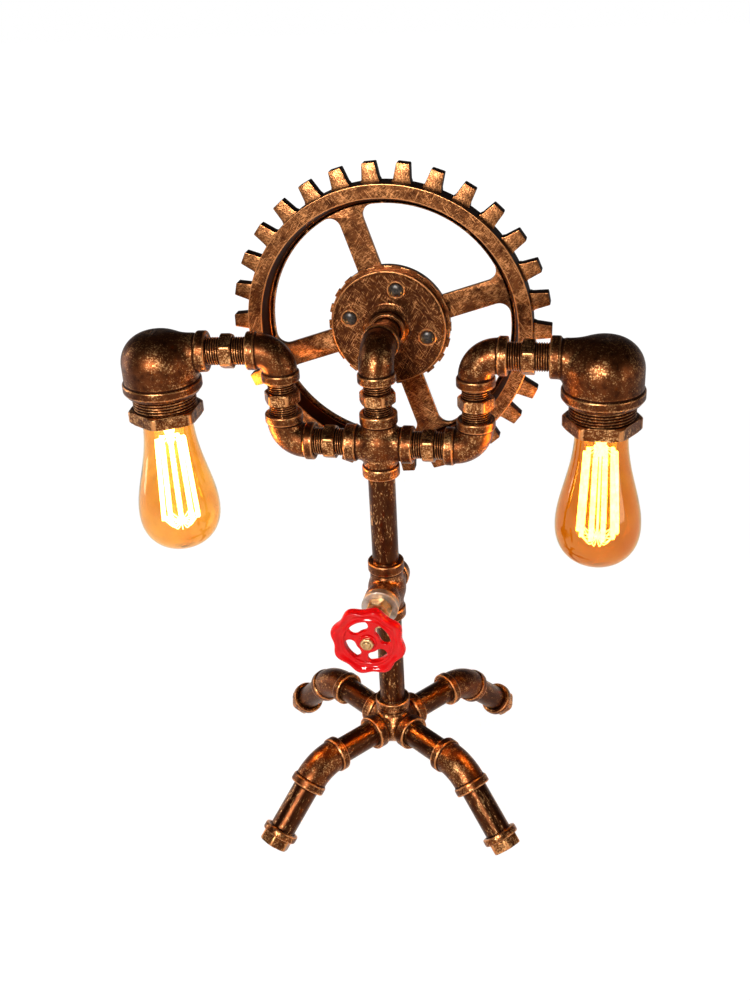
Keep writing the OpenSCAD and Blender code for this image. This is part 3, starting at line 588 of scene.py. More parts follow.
def fill_inputs(tree, node, inputs):
    """Gives a node its inputs, each a value or another node's output."""
    for key, value in inputs.items():
        socket = node.inputs[key]
        if isinstance(value, bpy.types.NodeSocket):
            tree.links.new(value, socket)
        else:
            socket.default_value = value


def node_in(tree, kind, inputs=None, **settings):
    """A node with its settings and inputs."""
    node = tree.nodes.new(kind)
    for key, value in settings.items():
        setattr(node, key, value)
    fill_inputs(tree, node, inputs or {})
    return node


def recipe(name, sockets, material, build):
    """A Geometry Nodes tree with named inputs that ends in Realize Instances and Set Material."""
    tree = bpy.data.node_groups.new(name, "GeometryNodeTree")
    tree.interface.new_socket("Geometry", in_out="OUTPUT", socket_type="NodeSocketGeometry")
    tree.interface.new_socket("Geometry", in_out="INPUT", socket_type="NodeSocketGeometry")
    for label, kind in sockets:
        tree.interface.new_socket(label, in_out="INPUT", socket_type=kind)
    given = tree.nodes.new("NodeGroupInput")
    made = build(tree, given.outputs)
    real = node_in(tree, "GeometryNodeRealizeInstances", {"Geometry": made})
    dressed = node_in(tree, "GeometryNodeSetMaterial", {"Geometry": real.outputs[0], "Material": material})
    out = tree.nodes.new("NodeGroupOutput")
    tree.links.new(dressed.outputs[0], out.inputs[0])
    return tree


def follow_recipe(piece, tree, values):
    """The piece as the recipe makes it, as a plain mesh with no modifier left."""
    modifier = piece.modifiers.new("recipe", "NODES")
    modifier.node_group = tree
    for item in tree.interface.items_tree:
        if item.in_out == "INPUT" and item.name in values:
            modifier[item.identifier] = values[item.name]
    bpy.context.view_layer.update()
    mesh = bpy.data.meshes.new_from_object(piece.evaluated_get(bpy.context.evaluated_depsgraph_get()))
    piece.modifiers.clear()
    piece.data = mesh
    return piece


def round_array(tree, given):
    """Copies of the given piece turned about the Z axis, evenly or from a first angle."""
    points = node_in(tree, "GeometryNodePoints", {"Count": given["Count"]})
    index = node_in(tree, "GeometryNodeInputIndex")
    step = node_in(tree, "ShaderNodeMath", {0: 2 * math.pi, 1: given["Count"]}, operation="DIVIDE")
    spin = node_in(tree, "ShaderNodeMath", {0: index.outputs[0], 1: step.outputs[0], 2: given["First angle"]},
                   operation="MULTIPLY_ADD")
    rotation = node_in(tree, "ShaderNodeCombineXYZ", {"Z": spin.outputs[0]})
    placed = node_in(tree, "GeometryNodeInstanceOnPoints", {"Points": points.outputs[0],
                     "Instance": given["Geometry"], "Rotation": rotation.outputs[0]})
    return placed.outputs[0]


def repeat_round(piece, count, first, place):
    """The piece repeated round the Z axis by Geometry Nodes, then set in place."""
    tree = recipe(piece.name + "_array", [("Count", "NodeSocketInt"), ("First angle", "NodeSocketFloat")],
                  piece.data.materials[0], round_array)
    follow_recipe(piece, tree, {"Count": count, "First angle": math.radians(first)})
    piece.data.transform(in_metres(place))
    return piece


# ---------- Finishes ----------

FINISHES = {}
SCRATCHES = ((0.95, 40, 60.0), (0.62, 26, 85.0), (-0.50, 30, 110.0))
BRONZES = {
    "fitting_bronze": {"amount": 0.37},
    "pipe_bronze": {"stroke": (1.0, 1.0, 3.0), "own_grain": True, "amount": 0.16, "ground": "umber"},
    "gear_bronze": {"stroke": (1.0, 4.0, 1.0), "stroke_turn": -60, "own_grain": True, "amount": 0.40,
                    "tone": "copper", "ground": "plate", "fineness": 1300.0, "crisp": 0.16, "scratched": 1.0},
    "flange_bronze": {"stroke": (1.0, 2.4, 1.0), "stroke_turn": -40, "own_grain": True, "amount": 0.22,
                      "tone": "copper", "ground": "umber", "fineness": 1000.0, "crisp": 0.14, "scratched": 0.95},
    "clamp_bronze": {"amount": 0.34, "tone": "copper"},
}


def finish(inputs_of):
    """Makes a material once for each name, from what a function gives for the inputs of its Principled shader."""
    def made(name, *values, **settings):
        if name not in FINISHES:
            material = FINISHES[name] = bpy.data.materials.new("lamp_" + name)
            material.use_nodes = True
            tree = material.node_tree
            place = node_in(tree, "ShaderNodeTexCoord").outputs["Object"]
            fill_inputs(tree, tree.nodes["Principled BSDF"], inputs_of(tree, place, *values, **settings))
        return FINISHES[name]
    return made


def band(tree, value, low, high):
    """Smooth share of a value between two levels."""
    return node_in(tree, "ShaderNodeMapRange", {"Value": value, "From Min": low, "From Max": high},
                   interpolation_type="SMOOTHSTEP").outputs[0]


def blend_colour(tree, share, first, second):
    """Colour between two colours."""
    return node_in(tree, "ShaderNodeMix", {0: share, 6: first, 7: second}, data_type="RGBA").outputs[2]


def blend_value(tree, share, first, second):
    """Value between two values."""
    return node_in(tree, "ShaderNodeMix", {0: share, 2: first, 3: second}).outputs[0]


def sums(tree, operation, first, second):
    """Result of one sum, kept between 0 and 1."""
    return node_in(tree, "ShaderNodeMath", {0: first, 1: second}, operation=operation, use_clamp=True).outputs[0]


def add_share(tree, value, share, to):
    """A share of a value, added to another value."""
    return node_in(tree, "ShaderNodeMath", {0: value, 1: share, 2: to}, operation="MULTIPLY_ADD").outputs[0]


def grains(tree, vector, scale, detail=3.0, rough=0.6):
    """Noise at a scale, in parts per metre."""
    return node_in(tree, "ShaderNodeTexNoise", {"Vector": vector, "Scale": scale, "Detail": detail,
                   "Roughness": rough}).outputs[0]


def drawn_out(tree, place, spin, stretch):
    """Coordinates turned about Z, in radians, and drawn out along their axes."""
    return node_in(tree, "ShaderNodeMapping", {"Vector": place, "Rotation": (0, 0, spin), "Scale": stretch},
                   vector_type="TEXTURE").outputs[0]


def relief(tree, strength, distance, height):
    """Normal of a surface with fine relief."""
    return node_in(tree, "ShaderNodeBump", {"Strength": strength, "Distance": distance,
                                            "Height": height}).outputs[0]


@finish
def bronze_finish(tree, place, stroke=(1.0, 1.0, 1.0), stroke_turn=0, own_grain=False, amount=0.5, tone="rubbed",
                  ground="brown", fineness=800.0, crisp=0.20, scratched=0.0):
    """Dark bronze with rubbed speckle, brighter edges and dark corners."""
    if own_grain:
        place = node_in(tree, "ShaderNodeAttribute", attribute_name="grain").outputs["Vector"]
    stretched = drawn_out(tree, place, math.radians(stroke_turn), stroke)
    wear = node_in(tree, "ShaderNodeAttribute", attribute_name="wear").outputs["Fac"]
    speckle = grains(tree, stretched, fineness, 4.0, 0.72)
    soot = grains(tree, place if scratched else stretched, 190.0)
    over = add_share(tree, grains(tree, place, 60.0, 2.0), 0.35, speckle)
    over = add_share(tree, wear, 0.10, add_share(tree, soot, 0.3, over))
    level = 1.04 - amount * 0.3
    rubbed = band(tree, over, level - crisp / 2, level + crisp / 2)
    if scratched:
        for spin, length, patch in SCRATCHES:
            lines = grains(tree, drawn_out(tree, place, spin, (1, length, 1)), 2100.0, 2.0)
            line = band(tree, lines, 0.70 - 0.1 * scratched, 0.76 - 0.1 * scratched)
            held = band(tree, grains(tree, place, patch, 2.0), 0.44, 0.54)
            rubbed = sums(tree, "MAXIMUM", rubbed, sums(tree, "MULTIPLY", line, held))
    base = blend_colour(tree, band(tree, soot, 0.18, 0.60), paint("dark"), paint(ground))
    base = blend_colour(tree, rubbed, base, paint(tone))
    edge = sums(tree, "MULTIPLY", band(tree, wear, 0.25, 0.75), band(tree, grains(tree, place, 420.0), 0.30, 0.5))
    corner = band(tree, wear, -0.05, -0.6)
    gloss = blend_value(tree, sums(tree, "MAXIMUM", rubbed, edge), 0.28, 0.30)
    return {"Base Color": blend_colour(tree, corner, blend_colour(tree, edge, base, paint("copper")), paint("dark")),
            "Metallic": 0.96, "Roughness": blend_value(tree, corner, gloss, 0.62),
            "Normal": relief(tree, 0.26, 0.0004, add_share(tree, speckle, 0.6, grains(tree, place, 1500.0, 2.0)))}


def bronze(name):
    """One of the lamp's bronze finishes."""
    return bronze_finish(name, **BRONZES[name])


@finish
def paint_finish(tree, place):
    """Thick glossy paint with faint runs and orange peel."""
    deep = (*(c * 0.86 for c in paint("red")[:3]), 1.0)
    return {"Base Color": blend_colour(tree, band(tree, grains(tree, place, 120.0), 0.35, 0.7), paint("red"), deep),
            "Roughness": blend_value(tree, grains(tree, place, 300.0), 0.26, 0.36),
            "Normal": relief(tree, 0.12, 0.0004, grains(tree, place, 260.0)),
            "Specular IOR Level": 0.02, "Coat Weight": 0.45, "Coat Roughness": 0.03}


@finish
def metal_finish(tree, place, tone, dull, roughness=0.28, scale=420.0):
    """Bare metal with tarnish in patches and fine tool marks."""
    stain = band(tree, grains(tree, place, scale / 3, 4.0), 0.42, 0.68)
    return {"Base Color": blend_colour(tree, stain, tone, dull), "Metallic": 0.95,
            "Roughness": blend_value(tree, stain, roughness, roughness + 0.2),
            "Normal": relief(tree, 0.2, 0.0002, grains(tree, place, scale * 3))}


@finish
def black_finish(tree, place):
    """Dark burnished steel or plastic with a slight mottle."""
    mottle = grains(tree, place, 500.0, 4.0)
    return {"Base Color": blend_colour(tree, band(tree, mottle, 0.4, 0.7), (0.012, 0.010, 0.009, 1),
                                       (0.06, 0.045, 0.035, 1)),
            "Metallic": 0.5, "Roughness": blend_value(tree, mottle, 0.22, 0.42)}


@finish
def sheath_finish(tree, place):
    """Silicone sheath of the leads, slightly mottled."""
    return {"Base Color": blend_colour(tree, grains(tree, place, 900.0), (0.42, 0.06, 0.04, 1), (0.30, 0.04, 0.03, 1)),
            "Roughness": blend_value(tree, grains(tree, place, 200.0), 0.5, 0.65)}


@finish
def glass_finish(tree, place, depth=1.0):
    """Amber glass with faint waves from blowing; a larger depth makes a browner copy, which paints shade onto the right
    bulb's glass.
    """
    red, green, blue, _ = (c ** depth for c in paint("amber"))
    red *= 0.9 ** (depth * 2 - 2)
    return {"Base Color": blend_colour(tree, band(tree, grains(tree, place, 45.0), 0.35, 0.7), (red, green, blue, 1.0),
                                       (red * 0.93, green * 0.80, blue * 0.7, 1.0)),
            "Roughness": blend_value(tree, grains(tree, place, 60.0), 0.0, 0.03),
            "Normal": relief(tree, 0.2, 0.001, grains(tree, place, 55.0, 1.0)),
            "Transmission Weight": 1.0, "IOR": 1.45}


@finish
def glow_finish(tree, place, tone, strength):
    """Glowing filament wire, brighter and cooler along its length; the same emission is also a painted glow on the
    mount and supports, which are no lamp.
    """
    flicker = band(tree, grains(tree, place, 260.0), 0.3, 0.7)
    shade = blend_colour(tree, flicker, (tone[0], tone[1] * 0.86, tone[2] * 0.6, 1.0), tone)
    return {"Base Color": shade, "Emission Color": shade,
            "Emission Strength": blend_value(tree, flicker, strength * 0.6, strength)}


@finish
def floor_finish(tree, place):
    """Pale matt floor."""
    return {"Base Color": blend_colour(tree, grains(tree, place, 40.0), (0.83, 0.83, 0.82, 1), (0.80, 0.80, 0.79, 1)),
            "Roughness": 0.9}


def brass():
    """Brass of hexagons, nuts and bulb caps."""
    return metal_finish("brass", paint("brass"), (0.36, 0.20, 0.09, 1))


def zinc():
    """Galvanised steel of the bonnet disc and the hidden nuts."""
    return metal_finish("zinc", paint("zinc"), (0.30, 0.24, 0.18, 1), 0.38, 300.0)


def settle(piece, body, slot, *nodes):
    """The piece rides on its body and stands for its frame nodes, which are hidden; slot is not used."""
    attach(piece, body)
    if nodes:
        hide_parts(*nodes)


def settle_casting(node, body, surface, place):
    """A casting in its place, from the points, faces and proud edges of its surface."""
    points, faces, stand = surface
    piece = make_piece(node + "_casting", points, faces, bronze("fitting_bronze"), place, cast_wear(stand), sharp=0)
    settle(piece, body, "fitting_bronze", node)


# ---------- Operators ----------

class LampOperator(bpy.types.Operator):
    """Shared options of the lamp's operators"""
    bl_options = {"REGISTER", "UNDO"}


class LAMP_OT_stage(LampOperator):
    """Make the camera, the soft studio light and the pale floor"""
    bl_idname = "lamp.stage"
    bl_label = "Stage, light and camera"

    def execute(self, context):
        self.make_camera(context)
        self.make_world(context)
        self.make_floor()
        warm, white = (1.0, 0.93, 0.86), (1.0, 0.97, 0.93)
        self.make_light("Key_softbox", (-0.30, -1.6, 0.92), (0, 0, 0.30), (0.45, 0.32), 37.0, white)
        self.make_light("Fill_softbox", (1.5, -0.6, 0.45), (0, 0, 0.28), (0.5, 0.9), 5.0, warm)
        self.make_light("Side_softbox", (-1.5, 0.2, 0.45), (0, 0, 0.30), (0.5, 0.9), 5.0, warm)
        return {"FINISHED"}

    def make_camera(self, context):
        """Camera of the photograph, its lens and shift given in rows of the picture."""
        az, el, roll = math.radians(12.29), math.radians(27.12), math.radians(-2.92)
        rows, focal, shift_x, shift_y = 1001, 1170.69, -7.33, -8.42
        ahead = Vector((-math.sin(az) * math.cos(el), math.cos(az) * math.cos(el), -math.sin(el)))
        level = Vector((math.cos(az), math.sin(az), 0))
        upright = level.cross(ahead)
        right = level * math.cos(roll) + upright * math.sin(roll)
        up = upright * math.cos(roll) - level * math.sin(roll)
        lens = bpy.data.cameras.new("Camera")
        lens.sensor_fit, lens.sensor_height = "VERTICAL", 24.0
        lens.lens = focal / rows * lens.sensor_height
        lens.shift_x, lens.shift_y = shift_x / rows, shift_y / rows
        lens.clip_start, lens.clip_end = 0.01, 50.0
        view = Matrix((right, up, -ahead)).transposed().to_4x4()
        view.translation = Vector((0.1736, -0.79685, 0.7011))
        camera = add_object("Camera", lens)
        camera.matrix_world = view
        context.scene.camera = camera

    def make_world(self, context):
        """White to the camera and through glass, a grey sky for light and a dark one for reflections."""
        context.scene.view_settings.view_transform = "Standard"
        world = bpy.data.worlds.new("Studio")
        context.scene.world = world
        world.use_nodes = True
        tree = world.node_tree
        tree.nodes.clear()
        path = node_in(tree, "ShaderNodeLightPath").outputs
        place = node_in(tree, "ShaderNodeTexCoord").outputs["Generated"]
        height = node_in(tree, "ShaderNodeSeparateXYZ", {0: place}).outputs[2]
        gloss = blend_colour(tree, band(tree, height, 0.02, 0.32), (0.27, 0.27, 0.27, 1), (0.02, 0.02, 0.02, 1))
        shade = blend_colour(tree, path["Is Glossy Ray"], (0.26, 0.26, 0.26, 1), gloss)
        seen = sums(tree, "MAXIMUM", path["Is Camera Ray"], path["Is Transmission Ray"])
        shade = blend_colour(tree, seen, shade, (1, 1, 1, 1))
        light = node_in(tree, "ShaderNodeBackground", {"Color": shade, "Strength": 1.0})
        node_in(tree, "ShaderNodeOutputWorld", {0: light.outputs[0]})

    def make_floor(self):
        """Floor that looks almost white, with a faint shadow where the lamp stands."""
        material, half = floor_finish("pale_floor"), 6000.0
        tree = material.node_tree
        place = node_in(tree, "ShaderNodeTexCoord").outputs["Object"]
        path = node_in(tree, "ShaderNodeLightPath").outputs
        mirrored = sums(tree, "MULTIPLY", path["Is Glossy Ray"], 0.28)
        seen = sums(tree, "MAXIMUM", sums(tree, "MAXIMUM", path["Is Camera Ray"], mirrored),
                    path["Is Transmission Ray"])
        white = node_in(tree, "ShaderNodeEmission", {"Color": (1, 1, 1, 1), "Strength": 1.06})
        distance = node_in(tree, "ShaderNodeVectorMath", {0: place}, operation="LENGTH").outputs["Value"]
        share = sums(tree, "MULTIPLY", seen, blend_value(tree, band(tree, distance, 0.5, 1.6), 0.93, 1.0))
        plain = tree.nodes["Principled BSDF"].outputs[0]
        mixed = node_in(tree, "ShaderNodeMixShader", {0: share, 1: plain, 2: white.outputs[0]})
        fill_inputs(tree, tree.nodes["Material Output"], {0: mixed.outputs[0]})
        floor = make_piece("Floor", [(-half, -half, 0), (half, -half, 0), (half, half, 0), (-half, half, 0)],
                           [(0, 1, 2, 3)], material)

    def make_light(self, name, place, target, sides, power, tone):
        """Rectangular soft light at a place, turned to a target."""
        data = bpy.data.lights.new(name, "AREA")
        data.shape = "RECTANGLE"
        data.size, data.size_y = sides
        data.energy, data.color = power, tone
        light = add_object(name, data)
        light.location = place
        light.rotation_mode = "QUATERNION"
        light.rotation_quaternion = (Vector(target) - Vector(place)).to_track_quat("-Z", "Y")


class LAMP_OT_castings(LampOperator):
    """Make the crosses and elbows as castings with filleted branches and rolled collars"""
    bl_idname = "lamp.castings"
    bl_label = "Crosses and elbows"

    def execute(self, context):
        step = 0.7
        turns = [math.radians(45 + 90 * k + degrees("base_turn")) for k in range(4)]
        legs = [(math.cos(a), math.sin(a), 0.0) for a in turns]
        upright = [(0, 0, 1), (0, 0, -1)]
        self.make_cross("base_cross", [(0, 0, 1), *legs], mm("core_d"), "base_z", step)
        self.make_cross("valve_cross", [*upright, (0, 1, 0), (0, -1, 0)], mm("body_d"), "valve_z", step)
        self.make_cross("top_cross", [*upright, (1, 0, 0), (-1, 0, 0)], mm("body_d"), "top_z", step)
        elbow, slope = (mm("elbow_reach"), mm("elbow_collar_w"), 90), degrees("leg_slope")
        bend = (mm("bend_reach"), mm("bend_collar_w"), slope)
        right_angle = cast_surface(lambda p: elbow_distance(p, *elbow), (-16, -16, -16), (25, 25, 16), step)
        shallow = cast_surface(lambda p: elbow_distance(p, *bend), (-27, -16, -16), (23, 27, 16), step)
        settle_casting("gear_elbow", "stand", right_angle, shift(z=mm("gear_z")) @ turn(y=90))
        for side, word in SIDES.items():
            settle_casting(f"lower_elbow_{word}", "stand", right_angle,
                           side_place(side) @ shift(x=mm("arm_half"), z=mm("top_z")) @ turn(x=90, z=180))
            settle_casting(f"upper_elbow_{word}", f"{word}_arm", right_angle, arm_place(side) @ turn(y=90, z=-90))
        for k in range(4):
            settle_casting(f"leg_elbow_{k + 1}", "stand", shallow,
                           leg_place(k) @ shift(x=mm("leg_reach")) @ turn(x=-90, z=180))
        return {"FINISHED"}

    def make_cross(self, node, arms, core_d, level, step):
        """Cross with its core at one of the lamp's levels."""
        arms, reach = [np.array(v, float) for v in arms], 28
        surface = cast_surface(lambda p: cross_distance(p, arms, core_d), (-reach,) * 3, (reach,) * 3, step)
        settle_casting(node, "stand", surface, shift(z=mm(level)))


class LAMP_OT_pipes(LampOperator):
    """Make the straight pipes of the column and the legs"""
    bl_idname = "lamp.pipes"
    bl_label = "Pipes"

    def execute(self, context):
        cross, valve, top, base = mm("cross_reach"), mm("valve_z"), mm("top_z"), mm("base_z")
        self.make_pipe("lower_pipe", [(base + cross, valve - cross, Matrix.Identity(4))])
        self.make_pipe("upper_pipe", [(valve + cross, top - cross, Matrix.Identity(4))])
        stub_end = mm("leg_reach") - mm("bend_reach")
        self.make_pipe("leg_stubs", [(cross, stub_end, leg_place(k) @ turn(y=90)) for k in range(4)])
        leg_end = mm("leg_run") - FOOT_LENGTH
        self.make_pipe("leg_pipes", [(mm("bend_reach"), leg_end, slope_place(k)) for k in range(4)])
        return {"FINISHED"}

    def make_pipe(self, node, runs):
        """Bare pipe with the last turn of its thread running out at each mouth."""
        r, depth, pitch, turns = mm("pipe_d") / 2, mm("thread_depth"), mm("thread_pitch"), even_turns(72)
        hidden, over, runout, step = 8, 1.2, 1.6, pitch / 8
        parts = []
        for z0, z1, place in runs:
            heights = np.concatenate([[z0 - hidden], np.arange(z0 - over, z0 + runout, step),
                                      np.linspace(z0 + runout, z1 - runout, 12),
                                      np.arange(z1 - runout + step, z1 + over, step), [z1 + hidden]])
            rings = Rings(turns)
            for z in heights:
                fade = np.clip(max(z0 + runout - z, z - z1 + runout) / runout, 0, 1)
                rings.add(r - 0.6 * depth * fade * thread_ridge(z, turns, pitch), z, fade * 0.3)
            rings.add_all((bore_radius(), z1 + hidden, -1.0), (bore_radius(), z0 - hidden, -1.0))
            parts.append(rings.piece(node + "_tube", bronze("pipe_bronze"), place, sharp=38.0))
        settle(join_pieces(node + "_tube", parts), "stand", "pipe_bronze", node)


class LAMP_OT_nipples(LampOperator):
    """Make the hexagon nipples with their helical threads"""
    bl_idname = "lamp.nipples"
    bl_label = "Hexagon nipples"

    def execute(self, context):
        elbow, cross, half, top = mm("elbow_reach"), mm("cross_reach"), mm("arm_half"), mm("top_z")
        riser = mm("gear_z") - top - cross - elbow
        self.make_nipple("riser_nipple", "stand", riser, shift(z=top + cross + riser / 2))
        beside = half - elbow - cross
        upright = mm("arm_z") - top - 2 * elbow
        out = mm("head_reach") - elbow - NECK_REACH
        for side, word in SIDES.items():
            self.make_nipple(f"cross_nipple_{word}", "stand", beside,
                             side_place(side) @ shift(x=cross + beside / 2, z=top) @ turn(y=90))
            self.make_nipple(f"swing_nipple_{word}", "stand", upright,
                             shift(x=side * half, z=mm("arm_z") - elbow - upright / 2))
            self.make_nipple(f"head_nipple_{word}", f"{word}_arm", out,
                             arm_place(side) @ shift(x=elbow + out / 2) @ turn(y=90))
        outer, inner, back, front = mm("pipe_d") / 2 - 0.4, bore_radius(), -57.4, -15.1
        close = turned("flange_nipple_tube", [(inner, back), (outer, back), (outer, front), (inner, front)],
                       bronze("fitting_bronze"), gear_place())
        settle(close, "stand", "fitting_bronze", "flange_nipple")
        return {"FINISHED"}

    def make_nipple(self, node, body, exposed, place):
        """Hexagon between two threads that run into the fittings beside it."""
        r, pitch, depth, bore = mm("pipe_d") / 2, mm("thread_pitch"), mm("thread_depth"), bore_radius()
        end, face, hexagon = exposed / 2 + 7.5, exposed / 2 + 1.0, mm("nipple_hex") / 2
        heights = np.arange(hexagon, face, pitch / 9)
        thread = (r, depth, pitch, 0.55, 1.35)
        rings = HexagonRings(mm("nipple_af"), 0.25)
        worn = rings.corner_wear(0.6, 0.30)
        rings.add(r - depth / 2, -end)
        rings.add_thread(-heights[::-1], *thread)
        rings.add(r - depth, -hexagon, -1.0)
        rings.add_bevel(-hexagon, 1, NIPPLE_BEVEL, worn, 0.5)
        for z in (-hexagon + 1.5, 0, hexagon - 1.5):
            rings.add(rings.six, z, worn)
        rings.add_bevel(hexagon, -1, NIPPLE_BEVEL, worn, 0.5)
        rings.add(r - depth, hexagon, -1.0)
        rings.add_thread(heights, *thread)
        rings.add_all((r - depth / 2, end), (bore, end, -1.0), (bore, -end, -1.0))
        settle(rings.piece(node + "_turned", bronze("fitting_bronze"), place), body, "fitting_bronze", node)


class LAMP_OT_feet(LampOperator):
    """Make the hexagon foot caps, ground flat where they stand"""
    bl_idname = "lamp.feet"
    bl_label = "Foot caps"

    def execute(self, context):
        run, r, socket = mm("leg_run"), mm("collar_d") / 2, socket_radius()
        start, bead_end = run - FOOT_LENGTH, run - 8.4
        roof = start + SOCKET_DEPTH
        rings = HexagonRings(22.6, 0.2, 30)
        worn = rings.corner_wear(0.5, 0.32)
        rings.add_all((socket + 1.0, start), (r - 1.3, start, 0.3), (r - 0.35, start + 0.35, 0.9),
                      (r, start + 1.3, 0.1), (r, bead_end - 1.3, 0.1), (r - 0.35, bead_end - 0.35, 0.9),
                      (r - 1.3, bead_end, 0.2), (rings.six, bead_end, -1.0), (rings.six, bead_end + 0.6, worn))
        rings.add_bevel(run, -1, FOOT_BEVEL, worn, 0.4)
        rings.add_all((rings.corner - 3.2, run), (0.0, run), (0.0, roof, -1.0), (socket, roof, -1.0),
                      (socket, start + 1.0, -1.0))
        for k in range(4):
            piece = rings.piece(f"foot_cap_{k + 1}_casting", bronze("fitting_bronze"), slope_place(k))
            bm = bmesh.new()
            bm.from_mesh(piece.data)
            cut = bmesh.ops.bisect_plane(bm, geom=bm.verts[:] + bm.edges[:] + bm.faces[:], plane_co=(0, 0, 0),
                                         plane_no=(0, 0, -1), clear_outer=True)
            edges = [e for e in cut["geom_cut"] if isinstance(e, bmesh.types.BMEdge)]
            bmesh.ops.holes_fill(bm, edges=edges)
            bm.to_mesh(piece.data)
            bm.free()
            settle(piece, "stand", "fitting_bronze", f"foot_cap_{k + 1}")
        return {"FINISHED"}


class LAMP_OT_gear(LampOperator):
    """Make the gear wheel: ring, spoked plate and teeth repeated by Geometry Nodes"""
    bl_idname = "lamp.gear"
    bl_label = "Gear wheel"

    teeth: bpy.props.IntProperty(name="Teeth", description="Number of teeth", default=30, min=12)
    tip_r: size("Tip radius", "Radius over the tooth tips", 125.6)
    ring_r: size("Ring radius", "Outer radius of the ring", 111.9)
    bore_r: size("Ring bore", "Inner radius of the ring at its front", 101.0)
    window_r: size("Window radius", "Radius of the windows", 94.5)
    spoke_w: size("Spoke width", "Width of a spoke", 19.0)
    web_t: size("Spoke thickness", "Thickness of the spokes", 4.3)
    ring_w: size("Ring width", "Width of the ring along its axis", 17.6)
    tooth_t: size("Tooth thickness", "Thickness of the teeth", 9.5)

    def execute(self, context):
        back, front, place = GEAR_BACK, GEAR_BACK + self.ring_w / MM, gear_place()
        ring_r, bore, window, web = (v / MM for v in (self.ring_r, self.bore_r, self.window_r, self.web_t))
        ring = turned("gear_ring", [(window, back), (ring_r, back), (ring_r, front), (bore, front),
                                    (bore - 3, back + web + 1), (bore - 4, back + web), (window, back + web)],
                      bronze("gear_bronze"), place, radius=0.7, segments=240)
        self.shade_faces(ring, place)
        web_plate = self.make_web(window, web, place)
        teeth = repeat_round(self.make_tooth(ring_r), self.teeth, 90 - 7, place)
        settle(join_pieces("gear_wheel_casting", [ring, web_plate, teeth]), "stand", "gear_bronze", "gear_wheel")
        return {"FINISHED"}

    def shade_faces(self, piece, place):
        """Side faces are left dark, front faces are brushed bright."""
        mesh = piece.data
        front = (place.to_3x3() @ Vector((0, 0, 1))).normalized()
        side = np.zeros(len(mesh.vertices))
        count = np.zeros(len(mesh.vertices))
        for polygon in mesh.polygons:
            facing = polygon.normal.dot(front)
            for v in polygon.vertices:
                side[v] += (abs(facing) < 0.35) * polygon.area
                count[v] += polygon.area
        share = side / np.maximum(count, 1e-12)
        wear = np.zeros(len(mesh.vertices), np.float32)
        mesh.attributes["wear"].data.foreach_get("value", wear)
        mesh.attributes["wear"].data.foreach_set("value", np.where(share > 0.97, -0.9, wear).astype(np.float32))

    def make_web(self, window, web, place):
        """Plate with four windows between the spokes, cut from a flat curve, and the hub on it."""
        hub_r, hub_t, hub_bore, outer_r, bore_r, corner = 47.3, 6.1, 9, 97.5, 36, 8.5
        back, half, lap = GEAR_BACK, self.spoke_w / MM / 2, hub_r - 2
        y = half + corner
        x = math.sqrt((window - corner) ** 2 - y * y)
        tilt = math.degrees(math.atan2(y, x))
        inner = math.degrees(math.atan2(half, math.sqrt(lap ** 2 - half * half)))
        opening = [*arc(window, tilt, 90 - tilt, 26), *arc(corner, 90 - tilt, 180, 9, (y, x))[1:],
                   *arc(lap, 90 - inner, inner, 14), *arc(corner, -90, tilt, 9, (x, y))[:-1]]
        outlines = [arc(outer_r, 0, 360, 181)[:-1], arc(bore_r, 0, 360, 121)[:-1],
                    *(spun(opening, 18.5 + 90 * k) for k in range(4))]
        verts, faces = cut_plate("gear_web", outlines, web, 0.45, 1)
        worn = np.where(np.abs(np.abs(verts[:, 2]) - web / 2) < 0.35, 0.1, 0.7)
        plate = make_piece("gear_web", verts + (0, 0, back + web / 2), faces, bronze("gear_bronze"), place, worn, 50)
        self.shade_faces(plate, place)
        hub = turned("gear_hub", [(hub_bore, back + 0.05), (hub_r - 0.4, back + 0.05), (hub_r, back + 0.5),
                                  (hub_r, back + hub_t), (hub_bore, back + hub_t)],
                     bronze("gear_bronze"), place, segments=120)
        return join_pieces("gear_web", [plate, hub])

    def make_tooth(self, ring_r):
        """One tooth with bevelled edges, standing on the ring along +X."""
        back, thick, tip = GEAR_BACK, self.tooth_t / MM, self.tip_r / MM
        thick, tip = self.tooth_t / MM, self.tip_r / MM
        flank = [(ring_r - 2, -7.25), (ring_r + 0.3, -7.25), (ring_r + 2, -6.4), (tip - 0.5, -5.0), (tip, -4.4)]
        outline = flank + [(x, -y) for x, y in flank[::-1]]
        bm = bmesh.new()
        verts = [bm.verts.new((x * MM, y * MM, back * MM)) for x, y in outline]
        face = bm.faces.new(verts)
        raised = bmesh.ops.extrude_face_region(bm, geom=[face])
        for v in raised["geom"]:
            if isinstance(v, bmesh.types.BMVert):
                v.co.z += thick * MM
        bmesh.ops.recalc_face_normals(bm, faces=bm.faces)
        ends = [e for e in bm.edges if abs(e.verts[0].co.z - e.verts[1].co.z) < 1e-9]
        bmesh.ops.bevel(bm, geom=ends, offset=0.5 * MM, segments=2, affect="EDGES", profile=0.6)
        mesh = bpy.data.meshes.new("gear_tooth")
        bm.to_mesh(mesh)
        bm.free()
        verts, faces = mesh_parts(mesh)
        tooth = make_piece("gear_teeth", verts, faces, bronze("gear_bronze"), wear=np.full(len(verts), 0.35), sharp=34)
        self.shade_faces(tooth, Matrix.Identity(4))
        return tooth


